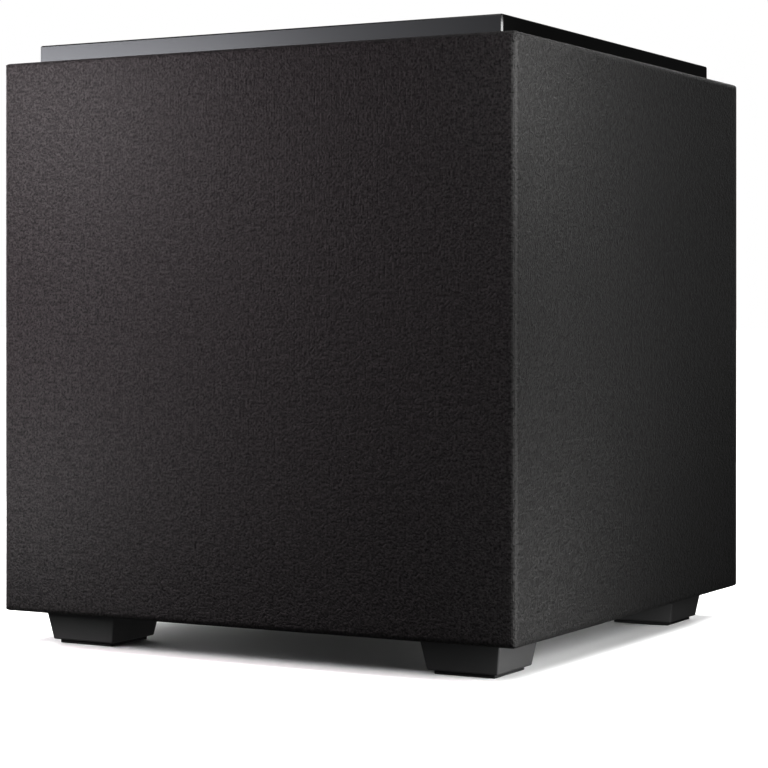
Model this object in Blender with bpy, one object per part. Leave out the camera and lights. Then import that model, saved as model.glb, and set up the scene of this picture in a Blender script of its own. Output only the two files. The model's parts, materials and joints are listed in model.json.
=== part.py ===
"""A powered subwoofer: a cloth-wrapped cube cabinet on four feet, with a gloss cap on top.

A 12 inch driver faces the front, a passive radiator faces each side, and a plate amplifier
sits in a pocket at the back. Metres, +Z up, front towards -Y, origin under the middle of the
bounding box. Run it with: blender --background --python part.py
"""

import math

import bmesh
import bpy
from mathutils import Matrix, Vector

# Driving dimensions of the cabinet.
WIDTH = 0.384
DEPTH = 0.380
HEIGHT = 0.370
FOOT_HEIGHT = 0.023
CAP_RISE = 0.0127
CAP_INSET = 0.0174
EDGE_RADIUS = 0.005
FOOT_TOP_HALF = 0.028

# Thicknesses.
CLOTH = 0.001
GAP = 0.0003
BOARD = 0.019
BAFFLE = 0.025
GRILLE = 0.018
TRIM = 0.0025
PLATE = 0.003
SHEET_METAL = 0.0015

# How far the cloth folds over each edge of the cabinet.
FOLD_TOP = 0.026
FOLD_BASE = 0.014
FOLD_REAR = 0.012

# Faces of the cloth sleeve.
HALF_W = WIDTH / 2
FRONT_Y = -DEPTH / 2
TRIM_BACK_Y = DEPTH / 2
SLEEVE_BACK_Y = TRIM_BACK_Y - TRIM - GAP
BASE_Z = FOOT_HEIGHT
TOP_Z = BASE_Z + HEIGHT
MIDDLE_Z = (BASE_Z + TOP_Z) / 2

# Faces of the wooden core under the cloth.
SKIN = CLOTH + GAP
CORE_HALF_W = HALF_W - SKIN
CORE_FRONT_Y = FRONT_Y + SKIN
CORE_BACK_Y = SLEEVE_BACK_Y - SKIN
CORE_BASE_Z = BASE_Z + SKIN
CORE_TOP_Z = TOP_Z - SKIN
CORE_RADIUS = EDGE_RADIUS - SKIN

# The airtight box inside the grille frames.
BOX_HALF_W = CORE_HALF_W - GRILLE - GAP
BAFFLE_FACE_Y = CORE_FRONT_Y + GRILLE + GAP
BAFFLE_BACK_Y = BAFFLE_FACE_Y + BAFFLE
WALL_BASE_Z = CORE_BASE_Z + BOARD + GAP
WALL_TOP_Z = CORE_TOP_Z - BOARD - GAP

# Driver and radiator, both of the 12 inch class. Their +Z points out of the cabinet, and 0 is the
# outer face of the wall that they are let into.
RADIATOR_Y = 0.018
FLANGE_R = 0.154
REBATE_R = 0.155
REBATE_DEPTH = 0.0063
CUTOUT_R = 0.141
GRILLE_OPENING_R = 0.150
FLANGE_FRONT = -0.0015
FLANGE_BACK = -0.006
FLANGE_INNER_R = 0.128
WALL_TOP_R = 0.1395
WALL_THICK = 0.004
FOOT_R = 0.088
FOOT_THICK = 0.0037
SHELF_FRONT = -0.0705
SHELF_INNER_R = 0.070
SHELF_THICK = 0.003
SURROUND_INNER_R = 0.104
SURROUND_OUTER_R = 0.130
ROLL_HEIGHT = 0.011
RUBBER = 0.0012
LIP = 0.001
PAPER = 0.0012
CONE_RIM_R = 0.1035
CONE_EDGE_R = 0.0968
CONE_DEPTH = 0.0503
FORMER_INNER_R = 0.032
FORMER_OUTER_R = 0.0326
FORMER_TOP = -0.048
FORMER_END = -0.1226
TOP_PLATE_FRONT = -0.102
TOP_PLATE_BACK = -0.110
MAGNET_BACK = -0.1503
YOKE_BACK = -0.1606
YOKE_R = 0.075
POLE_R = 0.0312
BASKET_FOOT_Z = TOP_PLATE_FRONT + GAP
TERMINAL_ANGLE = math.radians(225)
TERMINAL_SIZE = (0.010, 0.026, 0.016)
RADIATOR_FOOT_Z = -0.056
RADIATOR_DISH_Z = -0.034
RADIATOR_NECK_END = -0.060
GLUE_ROOM = 0.001
RING_SEGMENTS = 24
SMALL_SEGMENTS = 12
KNOB_SEGMENTS = 32

# Plate amplifier.
PLATE_HALF_W = 0.108
PLATE_HALF_H = 0.140
POCKET_MARGIN = 0.004
POCKET_DEPTH = 0.0125
PLATE_BACK_Y = SLEEVE_BACK_Y - POCKET_DEPTH + GAP
PLATE_FACE_Y = PLATE_BACK_Y + PLATE
CHASSIS_HALF_W = 0.092
CHASSIS_HALF_H = 0.124
CHASSIS_FRONT_Y = 0.118
CHASSIS_HOLE_MARGIN = 0.006
CONTROL_ROW_Z = 0.215
JACK_ROW_Z = 0.165
POWER_ROW_Z = 0.108
LEVEL_X = 0.066
CROSSOVER_X = 0.022
PHASE_X = -0.022
MODE_X = -0.066
JACK_X = (0.072, 0.046)
LAMP_X = -0.066
INLET_X = 0.066
ROCKER_X = 0.022
LEVER_TRAVEL = 0.004
LEVER_STEM = (0.0046, 0.0032)
SHAFT_R = 0.003
SHAFT_ROOM = 0.001
JACK_BODY_R = 0.005
JACK_DEPTH = 0.014
LAMP_R = 0.0025
INLET_BODY = (0.027, 0.036, 0.026)
INLET_FLANGE = (0.034, 0.043, 0.002)
SOCKET = (0.0244, 0.0164, 0.017)
SOCKET_Y = 0.0075
DRAWER_SLOT = (0.0236, 0.0086, 0.0225)
DRAWER_Y = -0.0115
PIN = (0.002, 0.004, 0.012)
PIN_PLACES = ((-0.007, -0.002), (0.007, -0.002), (0, 0.002))
SWITCH_BODY = (0.013, 0.0190, 0.020)
SWITCH_FLANGE = (0.016, 0.0225, 0.002)
ROCKER_HALF = (0.0051, 0.0076)
ROCKER_PIVOT = 0.0003
ROCKER_TILT = math.radians(12)

# Headings of a sub-assembly whose own +Z points out of the cabinet.
FACING_FRONT = 0
FACING_RIGHT = math.pi / 2
FACING_REAR = math.pi
FACING_LEFT = -math.pi / 2

MATERIALS = {
    "black_mdf": ((0.020, 0.019, 0.018), 0.7, 0),
    "black_cloth": ((0.013, 0.012, 0.013), 0.9, 0),
    "gloss_black": ((0.006, 0.006, 0.007), 0.08, 0),
    "satin_black_plastic": ((0.012, 0.012, 0.013), 0.38, 0),
    "black_rubber": ((0.010, 0.010, 0.010), 0.75, 0),
    "cast_black": ((0.018, 0.018, 0.019), 0.5, 0.6),
    "black_paper": ((0.016, 0.016, 0.017), 0.8, 0),
    "spider_cloth": ((0.30, 0.19, 0.07), 0.9, 0),
    "zinc_steel": ((0.42, 0.43, 0.45), 0.35, 1),
    "ferrite": ((0.045, 0.045, 0.048), 0.6, 0),
    "copper_wire": ((0.72, 0.30, 0.12), 0.35, 1),
    "black_aluminium": ((0.016, 0.016, 0.017), 0.42, 0.5),
    "circuit_board": ((0.012, 0.09, 0.03), 0.5, 0),
    "gold_plate": ((0.83, 0.60, 0.22), 0.25, 1),
    "status_lens": ((0.02, 0.22, 0.05), 0.2, 0),
}


def clear_scene():
    for old in list(bpy.data.objects):
        bpy.data.objects.remove(old, do_unlink=True)


def material(name):
    """The named finish, made the first time that it is asked for."""
    found = bpy.data.materials.get(name)
    if found:
        return found
    color, roughness, metallic = MATERIALS[name]
    made = bpy.data.materials.new(name)
    made.use_nodes = True
    shader = made.node_tree.nodes["Principled BSDF"]
    shader.inputs["Base Color"].default_value = (*color, 1)
    shader.inputs["Roughness"].default_value = roughness
    shader.inputs["Metallic"].default_value = metallic
    made.diffuse_color = (*color, 1)
    return made


def add_object(name, bm, finish=None, parent=None, location=(0, 0, 0)):
    """Turn a bmesh into a named object, smooth where its faces meet at a low angle."""
    bmesh.ops.recalc_face_normals(bm, faces=bm.faces)
    mesh = bpy.data.meshes.new(name)
    bm.to_mesh(mesh)
    bm.free()
    mesh.shade_smooth()
    mesh.set_sharp_from_angle(angle=math.radians(35))
    made = bpy.data.objects.new(name, mesh)
    bpy.context.collection.objects.link(made)
    made.parent = parent
    made.location = location
    if finish:
        mesh.materials.append(material(finish))
    return made


def add_facing(name, location, heading):
    """An empty whose +Z points out of the cabinet and whose +Y points up."""
    empty = bpy.data.objects.new(name, None)
    bpy.context.collection.objects.link(empty)
    empty.location = location
    empty.rotation_euler = (math.pi / 2, 0, heading)
    return empty


def box_mesh(low, high):
    """A box between two corners."""
    bm = bmesh.new()
    size = Vector(high) - Vector(low)
    middle = (Vector(high) + Vector(low)) / 2
    bmesh.ops.create_cube(bm, size=1, matrix=Matrix.Translation(middle) @ Matrix.Diagonal((*size, 1)))
    return bm


def add_to_mesh(bm, other):
    """Move another bmesh's faces into this one."""
    mesh = bpy.data.meshes.new("joined")
    other.to_mesh(mesh)
    other.free()
    bm.from_mesh(mesh)
    bpy.data.meshes.remove(mesh)


def bevel_where(bm, chosen, radius, segments=3):
    """Round the edges whose two end points both pass a test."""
    edges = [edge for edge in bm.edges if chosen(edge.verts[0].co, edge.verts[1].co)]
    bmesh.ops.bevel(bm, geom=edges, offset=radius, segments=segments, profile=0.5, affect="EDGES")


def raise_face(bm, normal, inset, height):
    """Step the middle of the face that points along a normal, outwards or, below 0, inwards."""
    normal = Vector(normal)
    bm.faces.ensure_lookup_table()
    bm.normal_update()
    face = max(bm.faces, key=lambda f: (f.normal.dot(normal) > 0.999) * f.calc_area())
    bmesh.ops.inset_individual(bm, faces=[face], thickness=inset, use_even_offset=True)
    raised = bmesh.ops.extrude_face_region(bm, geom=[face])
    verts = [item for item in raised["geom"] if isinstance(item, bmesh.types.BMVert)]
    bmesh.ops.translate(bm, verts=verts, vec=normal * height)
    bmesh.ops.delete(bm, geom=[face], context="FACES")


def turned_mesh(outline, segments=RING_SEGMENTS):
    """Turn a closed outline of (radius, height) points about +Z."""
    bm = bmesh.new()
    rings = []
    for radius, height in outline:
        if radius == 0:
            rings.append([bm.verts.new((0, 0, height))] * segments)
            continue
        ring = []
        for step in range(segments):
            angle = 2 * math.pi * step / segments
            ring.append(bm.verts.new((radius * math.cos(angle), radius * math.sin(angle), height)))
        rings.append(ring)
    for index, ring in enumerate(rings):
        following = rings[(index + 1) % len(rings)]
        for step in range(segments):
            after = (step + 1) % segments
            corners = [ring[step], ring[after], following[after], following[step]]
            corners = list(dict.fromkeys(corners))
            if len(corners) > 2:
                bm.faces.new(corners)
    return bm


def prism_mesh(outline, low, high):
    """Extrude a closed outline of (x, y) points from one height to another."""
    bm = bmesh.new()
    bottom = [bm.verts.new((x, y, low)) for x, y in outline]
    face = bm.faces.new(bottom)
    raised = bmesh.ops.extrude_face_region(bm, geom=[face])
    verts = [item for item in raised["geom"] if isinstance(item, bmesh.types.BMVert)]
    bmesh.ops.translate(bm, verts=verts, vec=(0, 0, high - low))
    return bm


def sector_outline(inner_radius, outer_radius, middle_angle, half_angle):
    """The outline of a straight-sided ring sector."""
    corners = []
    for radius, side in ((inner_radius, -1), (outer_radius, -1), (outer_radius, 1), (inner_radius, 1)):
        angle = middle_angle + side * half_angle
        corners.append((radius * math.cos(angle), radius * math.sin(angle)))
    return corners


def rounded_rectangle(half_x, half_y, radius, segments=3):
    """The outline of a rectangle with rounded corners."""
    points = []
    for quarter, (sign_x, sign_y) in enumerate(((1, 1), (-1, 1), (-1, -1), (1, -1))):
        for step in range(segments + 1):
            angle = math.pi / 2 * (quarter + step / segments)
            x = sign_x * (half_x - radius) + radius * math.cos(angle)
            y = sign_y * (half_y - radius) + radius * math.sin(angle)
            points.append((x, y))
    return points


def apply_cutter(target, bm, operation="DIFFERENCE", parent=None):
    """Cut a target with a hidden shape, or join the shape to it, by a Boolean modifier."""
    tool = add_object(f"{target.name}_tool", bm, parent=parent)
    tool.hide_render = True
    tool.display_type = "WIRE"
    modifier = target.modifiers.new(operation.title(), "BOOLEAN")
    modifier.operation = operation
    modifier.object = tool
    modifier.solver = "EXACT"


def hole_cutter(radius, depth, step_radius, step_depth, clear=0.005, segments=RING_SEGMENTS):
    """A round cutter along -Z with a wider rebate at its mouth."""
    outline = [(0, clear), (step_radius, clear), (step_radius, -step_depth)]
    outline += [(radius, -step_depth), (radius, -depth - clear), (0, -depth - clear)]
    return turned_mesh(outline, segments)


# The cabinet.


def build_top_panel():
    """The lid of the box: rounded under the cloth, and stepped up to meet the cap."""
    low = (-CORE_HALF_W, CORE_FRONT_Y, CORE_TOP_Z - BOARD)
    high = (CORE_HALF_W, CORE_BACK_Y, CORE_TOP_Z)
    bm = box_mesh(low, high)
    middle_z = CORE_TOP_Z - BOARD / 2
    bevel_where(bm, lambda a, b: a.z > middle_z or b.z > middle_z, CORE_RADIUS)
    raise_face(bm, (0, 0, 1), FOLD_TOP + GAP - EDGE_RADIUS, SKIN)
    add_object("top_panel", bm, "black_mdf")


def build_bottom_panel():
    """The floor of the box, which carries the feet."""
    low = (-CORE_HALF_W, CORE_FRONT_Y, CORE_BASE_Z)
    high = (CORE_HALF_W, CORE_BACK_Y, CORE_BASE_Z + BOARD)
    bm = box_mesh(low, high)
    middle_z = CORE_BASE_Z + BOARD / 2
    bevel_where(bm, lambda a, b: a.z < middle_z or b.z < middle_z, CORE_RADIUS)
    raise_face(bm, (0, 0, -1), FOLD_BASE + GAP - EDGE_RADIUS, SKIN)
    add_object("bottom_panel", bm, "black_mdf")


def build_front_baffle(driver_axis):
    """The thick front wall with a rebated hole for the driver."""
    low = (-BOX_HALF_W, BAFFLE_FACE_Y, WALL_BASE_Z)
    high = (BOX_HALF_W, BAFFLE_BACK_Y, WALL_TOP_Z)
    baffle = add_object("front_baffle", box_mesh(low, high), "black_mdf")
    apply_cutter(baffle, hole_cutter(CUTOUT_R, BAFFLE, REBATE_R, REBATE_DEPTH), parent=driver_axis)


def build_side_panel(side, sign, radiator_axis):
    """A side wall with a rebated hole for its passive radiator."""
    inner, outer = BOX_HALF_W - BOARD, BOX_HALF_W
    low = (min(sign * inner, sign * outer), BAFFLE_BACK_Y + GAP, WALL_BASE_Z)
    high = (max(sign * inner, sign * outer), SLEEVE_BACK_Y, WALL_TOP_Z)
    panel = add_object(f"{side}_side_panel", box_mesh(low, high), "black_mdf")
    apply_cutter(panel, hole_cutter(CUTOUT_R, BOARD, REBATE_R, REBATE_DEPTH), parent=radiator_axis)


def build_rear_panel():
    """The back wall, with a pocket and an opening for the amplifier."""
    half_w = BOX_HALF_W - BOARD - GAP
    low = (-half_w, SLEEVE_BACK_Y - BOARD, WALL_BASE_Z)
    high = (half_w, SLEEVE_BACK_Y, WALL_TOP_Z)
    panel = add_object("rear_panel", box_mesh(low, high), "black_mdf")
    reach = 0.01
    pocket_w, pocket_h = PLATE_HALF_W + POCKET_MARGIN, PLATE_HALF_H + POCKET_MARGIN
    pocket_floor = SLEEVE_BACK_Y - POCKET_DEPTH
    pocket = box_mesh(
        (-pocket_w, pocket_floor, MIDDLE_Z - pocket_h),
        (pocket_w, SLEEVE_BACK_Y + reach, MIDDLE_Z + pocket_h),
    )
    apply_cutter(panel, pocket)
    hole_w, hole_h = CHASSIS_HALF_W + CHASSIS_HOLE_MARGIN, CHASSIS_HALF_H + CHASSIS_HOLE_MARGIN
    opening = box_mesh(
        (-hole_w, pocket_floor - BOARD, MIDDLE_Z - hole_h),
        (hole_w, pocket_floor + POCKET_DEPTH / 2, MIDDLE_Z + hole_h),
    )
    apply_cutter(panel, opening)


def build_centre_brace():
    """A windowed board that ties the top panel to the bottom panel."""
    half_thick, front, back = 0.009, 0.002, 0.104
    low = (-half_thick, front, WALL_BASE_Z)
    high = (half_thick, back, WALL_TOP_Z)
    brace = add_object("centre_brace", box_mesh(low, high), "black_mdf")
    rim = 0.026
    windows = 2
    pitch = (WALL_TOP_Z - WALL_BASE_Z - rim) / windows
    cutters = bmesh.new()
    for index in range(windows):
        floor = WALL_BASE_Z + rim + index * pitch
        window = box_mesh(
            (-2 * half_thick, front + rim, floor),
            (2 * half_thick, back - rim, floor + pitch - rim),
        )
        add_to_mesh(cutters, window)
    apply_cutter(brace, cutters)


def build_front_grille_frame(driver_axis):
    """The frame that holds the cloth off the driver; its outer corners are rounded."""
    low = (-CORE_HALF_W, CORE_FRONT_Y, WALL_BASE_Z)
    high = (CORE_HALF_W, BAFFLE_FACE_Y - GAP, WALL_TOP_Z)
    bm = box_mesh(low, high)
    middle_y = CORE_FRONT_Y + GRILLE / 2
    bevel_where(bm, lambda a, b: a.y < middle_y and b.y < middle_y and abs(a.z - b.z) > GRILLE, CORE_RADIUS)
    frame = add_object("front_grille_frame", bm, "black_mdf")
    opening = hole_cutter(GRILLE_OPENING_R, GRILLE, GRILLE_OPENING_R, 0, clear=2 * GRILLE)
    apply_cutter(frame, opening, parent=driver_axis)


def build_side_grille_frame(side, sign, radiator_axis):
    """The same frame for a side, which starts behind the front one."""
    inner, outer = BOX_HALF_W + GAP, CORE_HALF_W
    low = (min(sign * inner, sign * outer), BAFFLE_FACE_Y, WALL_BASE_Z)
    high = (max(sign * inner, sign * outer), CORE_BACK_Y, WALL_TOP_Z)
    bm = box_mesh(low, high)
    middle = (inner + outer) / 2

    def rear_outer_edge(a, b):
        outside = abs(a.x) > middle and abs(b.x) > middle
        return outside and a.y > 0 and b.y > 0

    bevel_where(bm, rear_outer_edge, CORE_RADIUS)
    frame = add_object(f"{side}_grille_frame", bm, "black_mdf")
    opening = hole_cutter(GRILLE_OPENING_R, GRILLE, GRILLE_OPENING_R, 0, clear=2 * GRILLE)
    apply_cutter(frame, opening, parent=radiator_axis)


def rounded_box(low, high, radius):
    """A box with every edge rounded."""
    bm = box_mesh(low, high)
    bmesh.ops.bevel(bm, geom=list(bm.edges), offset=radius, segments=3, profile=0.5, affect="EDGES")
    return bm


def build_fabric_sleeve():
    """The cloth: one skin round the cabinet that folds in at the top, the base and the back."""
    low = Vector((-HALF_W, FRONT_Y, BASE_Z))
    high = Vector((HALF_W, SLEEVE_BACK_Y, TOP_Z))
    wall = Vector((CLOTH, CLOTH, CLOTH))
    sleeve = add_object("fabric_sleeve", rounded_box(low, high, EDGE_RADIUS), "black_cloth")
    apply_cutter(sleeve, rounded_box(low + wall, high - wall, EDGE_RADIUS - CLOTH))
    inside = 2 * CLOTH
    reach = 0.003
    top = box_mesh(
        (low.x + FOLD_TOP, low.y + FOLD_TOP, high.z - inside),
        (high.x - FOLD_TOP, high.y - FOLD_TOP, high.z + reach),
    )
    base = box_mesh(
        (low.x + FOLD_BASE, low.y + FOLD_BASE, low.z - reach),
        (high.x - FOLD_BASE, high.y - FOLD_BASE, low.z + inside),
    )
    rear = box_mesh(
        (low.x + FOLD_REAR, high.y - inside, low.z + FOLD_REAR),
        (high.x - FOLD_REAR, high.y + reach, high.z - FOLD_REAR),
    )
    for window in (top, base, rear):
        apply_cutter(sleeve, window)


def build_rear_trim_frame():
    """A flat moulding that covers the cloth's fold at the back."""
    outer_w = HALF_W - EDGE_RADIUS
    low_z, high_z = BASE_Z + EDGE_RADIUS + GAP, TOP_Z - EDGE_RADIUS - GAP
    bm = box_mesh((-outer_w, TRIM_BACK_Y - TRIM, low_z), (outer_w, TRIM_BACK_Y, high_z))
    back = TRIM_BACK_Y - TRIM / 2
    edge = 0.4 * TRIM
    bevel_where(bm, lambda a, b: a.y > back and b.y > back, edge, segments=2)
    frame = add_object("rear_trim_frame", bm, "satin_black_plastic")
    overhang = 0.001
    inner_w = BOX_HALF_W - BOARD - overhang
    bar = 0.024
    opening = box_mesh(
        (-inner_w, TRIM_BACK_Y - 2 * TRIM, low_z + bar),
        (inner_w, TRIM_BACK_Y + TRIM, high_z - bar),
    )
    apply_cutter(frame, opening)


def build_top_cap():
    """The gloss slab that lies on the cloth, set in from every edge."""
    low = (-HALF_W + CAP_INSET, FRONT_Y + CAP_INSET, TOP_Z + GAP)
    high = (HALF_W - CAP_INSET, SLEEVE_BACK_Y - CAP_INSET, TOP_Z + CAP_RISE)
    bm = box_mesh(low, high)
    middle_z, edge = TOP_Z + CAP_RISE / 2, 0.0011
    bevel_where(bm, lambda a, b: a.z > middle_z or b.z > middle_z, edge)
    add_object("top_cap", bm, "gloss_black")


def foot_places():
    """Where the four feet stand, with the names that go with them."""
    margin = 0.0204
    inset = margin + FOOT_TOP_HALF
    for row, y in (("front", FRONT_Y + inset), ("rear", SLEEVE_BACK_Y - inset)):
        for side, x in (("left", -HALF_W + inset), ("right", HALF_W - inset)):
            yield f"{row}_{side}", x, y


def build_feet():
    """Four tapered plastic feet, each on a thin rubber pad."""
    pad_thick, pad_half, pad_corner = 0.0023, 0.021, 0.002
    base_half, edge = 0.0245, 0.0012
    base_z, top_z = pad_thick + GAP, BASE_Z - GAP
    for name, x, y in foot_places():
        bm = box_mesh((-FOOT_TOP_HALF, -FOOT_TOP_HALF, base_z), (FOOT_TOP_HALF, FOOT_TOP_HALF, top_z))
        for vert in bm.verts:
            if vert.co.z < top_z - GAP:
                vert.co.x *= base_half / FOOT_TOP_HALF
                vert.co.y *= base_half / FOOT_TOP_HALF
        middle_z = (base_z + top_z) / 2
        bevel_where(bm, lambda a, b: a.z < middle_z or b.z < middle_z, edge, segments=2)
        add_object(f"{name}_foot", bm, "satin_black_plastic", location=(x, y, 0))
        pad = prism_mesh(rounded_rectangle(pad_half, pad_half, pad_corner, segments=2), 0, pad_thick)
        add_object(f"{name}_foot_pad", pad, "black_rubber", location=(x, y, 0))


# The driver and the passive radiators.


def build_surround(name, axis):
    """A half-roll rubber ring with a flat lip on each side."""
    lip_top = -GAP
    lip_base = lip_top - LIP
    middle_r = (SURROUND_INNER_R + SURROUND_OUTER_R) / 2
    half_width = (SURROUND_OUTER_R - SURROUND_INNER_R) / 2
    steps = 6
    outer_roll, inner_roll = [], []
    for step in range(steps + 1):
        angle = math.pi * step / steps
        across, up = -math.cos(angle), math.sin(angle)
        outer_roll.append((middle_r + half_width * across, lip_top + ROLL_HEIGHT * up))
        inner_height = ROLL_HEIGHT + LIP - RUBBER
        inner_roll.append((middle_r + (half_width - RUBBER) * across, lip_base + inner_height * up))
    inner_lip, outer_lip = 0.007, 0.010
    glue_in, glue_out = SURROUND_INNER_R - inner_lip, SURROUND_OUTER_R + outer_lip
    outline = [(glue_in, lip_base), (glue_in, lip_top)] + outer_roll
    outline += [(glue_out, lip_top), (glue_out, lip_base)] + inner_roll[::-1]
    add_object(name, turned_mesh(outline), "black_rubber", parent=axis)


def build_spider(name, axis, rest_z):
    """A corrugated cloth disc from the former out to a ledge."""
    inner_r, outer_r = FORMER_OUTER_R + GAP, 0.080
    inner_flat, ledge_room = 0.003, 0.0015
    first_r, last_r = inner_r + inner_flat, SHELF_INNER_R - ledge_room
    thick, ripple, peaks = 0.001, 0.0022, 4
    top = [(inner_r, rest_z), (first_r, rest_z)]
    for peak in range(peaks):
        radius = first_r + (last_r - first_r) * (peak + 0.5) / peaks
        top.append((radius, rest_z + ripple * (-1) ** peak))
    top += [(last_r, rest_z), (outer_r, rest_z)]
    under = [(radius, height - thick) for radius, height in reversed(top)]
    add_object(name, turned_mesh(top + under), "spider_cloth", parent=axis)


def wall_radius(height, foot_z):
    """Outer radius of a frame's sloping wall at a height."""
    share = (height - FLANGE_BACK) / (foot_z - FLANGE_BACK)
    return WALL_TOP_R + share * (FOOT_R - WALL_TOP_R)


def frame_outline(foot_inner_r, foot_z, shelf_z=None):
    """Outline of a loudspeaker frame: flange, sloping wall, an optional shelf, and a foot ring."""
    inside = foot_z + FOOT_THICK
    outline = [(FLANGE_INNER_R, FLANGE_FRONT), (FLANGE_R, FLANGE_FRONT), (FLANGE_R, FLANGE_BACK)]
    outline += [(WALL_TOP_R, FLANGE_BACK), (FOOT_R, foot_z), (foot_inner_r, foot_z), (foot_inner_r, inside)]
    outline.append((wall_radius(inside, foot_z) - WALL_THICK, inside))
    if shelf_z:
        under = shelf_z - SHELF_THICK
        outline.append((wall_radius(under, foot_z) - WALL_THICK, under))
        outline += [(SHELF_INNER_R, under), (SHELF_INNER_R, shelf_z)]
        outline.append((wall_radius(shelf_z, foot_z) - WALL_THICK, shelf_z))
    fillet, drop = 0.005, 0.003
    outline.append((FLANGE_INNER_R + fillet, FLANGE_BACK - drop))
    outline.append((FLANGE_INNER_R, FLANGE_BACK))
    return outline


def cut_windows(frame, axis, bands):
    """Open a frame's wall between its spokes, over one or more bands of radius and height."""
    count, half_angle = 6, math.radians(23)
    cutters = bmesh.new()
    for inner_r, outer_r, low, high in bands:
        for index in range(count):
            outline = sector_outline(inner_r, outer_r, 2 * math.pi * index / count, half_angle)
            add_to_mesh(cutters, prism_mesh(outline, low, high))
    apply_cutter(frame, cutters, parent=axis)


def build_driver_basket(axis):
    """The cast frame, with a shelf for the spider and a foot ring for the motor."""
    seat_inner_r = 0.050
    outline = frame_outline(seat_inner_r, BASKET_FOOT_Z, SHELF_FRONT)
    basket = add_object("driver_basket", turned_mesh(outline), "cast_black", parent=axis)
    above_shelf = (0.090, 0.170, -0.064, -0.014)
    below_shelf = (0.076, 0.130, -0.092, -0.078)
    cut_windows(basket, axis, [above_shelf, below_shelf])


def build_driver_gasket(axis):
    """The stepped ring that finishes the flange and holds the surround's lip."""
    face, step, under = 0.0023, 0.0001, FLANGE_FRONT + GAP
    inner_r, step_r, outer_r = 0.1315, 0.1405, 0.148
    outline = [(inner_r, step), (inner_r, face), (outer_r, face), (outer_r, under)]
    outline += [(step_r, under), (step_r, step)]
    add_object("driver_gasket", turned_mesh(outline), "black_rubber", parent=axis)


def cone_height(radius):
    """Height of the driver cone's front at a radius."""
    neck_r = FORMER_OUTER_R + GAP
    return FLANGE_FRONT - CONE_DEPTH * (CONE_EDGE_R - radius) / (CONE_EDGE_R - neck_r)


def build_driver_cone(axis):
    """The paper cone, from a flat rim under the surround's lip down to the former."""
    neck_r = FORMER_OUTER_R + GAP
    neck_z = cone_height(neck_r)
    outline = [(CONE_RIM_R, FLANGE_FRONT), (CONE_RIM_R, FLANGE_FRONT - PAPER)]
    sloping_paper = 1.2 * PAPER
    outline += [(CONE_EDGE_R + PAPER / 2, FLANGE_FRONT - PAPER), (neck_r, neck_z - sloping_paper)]
    outline += [(neck_r, neck_z), (CONE_EDGE_R, FLANGE_FRONT)]
    add_object("driver_cone", turned_mesh(outline), "black_paper", parent=axis)


def build_driver_dust_cap(axis):
    """A shallow dome over the middle of the cone."""
    edge_r, rise, thick, steps = 0.046, 0.013, 0.0008, 4
    edge_z = cone_height(edge_r) + 2 * GAP
    top, under = [], []
    for step in range(steps + 1):
        share = step / steps
        drop = share * share
        top.append((edge_r * share, edge_z + rise * (1 - drop)))
        under.append(((edge_r - thick) * share, edge_z + (rise - thick) * (1 - drop)))
    add_object("driver_dust_cap", turned_mesh(top + under[::-1]), "black_paper", parent=axis)


def tube_outline(inner_r, outer_r, low, high):
    """The outline of a tube, or of a solid cylinder when the inner radius is 0."""
    return [(inner_r, high), (outer_r, high), (outer_r, low), (inner_r, low)]


def build_coil_and_former(axis):
    """The tube that carries the voice coil, and the winding on it."""
    winding_r, winding_length = 0.0343, 0.032
    former = turned_mesh(tube_outline(FORMER_INNER_R, FORMER_OUTER_R, FORMER_END, FORMER_TOP))
    add_object("coil_former", former, "black_paper", parent=axis)
    outline = tube_outline(FORMER_OUTER_R + GAP, winding_r, FORMER_END, FORMER_END + winding_length)
    add_object("voice_coil", turned_mesh(outline), "copper_wire", parent=axis)


def build_motor(axis):
    """Top plate, ferrite ring and vented yoke, stacked behind the basket."""
    gap_r, magnet_inner_r, magnet_r, vent_r = 0.0352, 0.045, 0.080, 0.011
    plate = turned_mesh(tube_outline(gap_r, YOKE_R, TOP_PLATE_BACK, TOP_PLATE_FRONT))
    add_object("motor_top_plate", plate, "zinc_steel", parent=axis)
    magnet = turned_mesh(tube_outline(magnet_inner_r, magnet_r, MAGNET_BACK, TOP_PLATE_BACK - GAP))
    add_object("motor_magnet", magnet, "ferrite", parent=axis)
    front = MAGNET_BACK - GAP
    outline = [(vent_r, TOP_PLATE_FRONT), (POLE_R, TOP_PLATE_FRONT), (POLE_R, front)]
    outline += [(YOKE_R, front), (YOKE_R, YOKE_BACK), (vent_r, YOKE_BACK)]
    add_object("motor_yoke", turned_mesh(outline), "zinc_steel", parent=axis)


def build_driver_terminal(axis):
    """The tag block on the outside of the basket's wall, tilted to lie along it."""
    slope = math.atan2(WALL_TOP_R - FOOT_R, FLANGE_BACK - BASKET_FOOT_Z)
    height = SHELF_FRONT
    stand_off = TERMINAL_SIZE[0] / 2 + 2 * GAP
    radius = wall_radius(height, BASKET_FOOT_Z) + stand_off / math.cos(slope)
    half = Vector(TERMINAL_SIZE) / 2
    place = Matrix.Rotation(TERMINAL_ANGLE, 4, "Z") @ Matrix.Translation((radius, 0, height))
    place = place @ Matrix.Rotation(slope, 4, "Y")
    bm = box_mesh(-half, half)
    edge = 0.001
    bmesh.ops.bevel(bm, geom=list(bm.edges), offset=edge, segments=1, affect="EDGES")
    bmesh.ops.transform(bm, matrix=place, verts=bm.verts)
    add_object("driver_terminal", bm, "satin_black_plastic", parent=axis)


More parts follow.
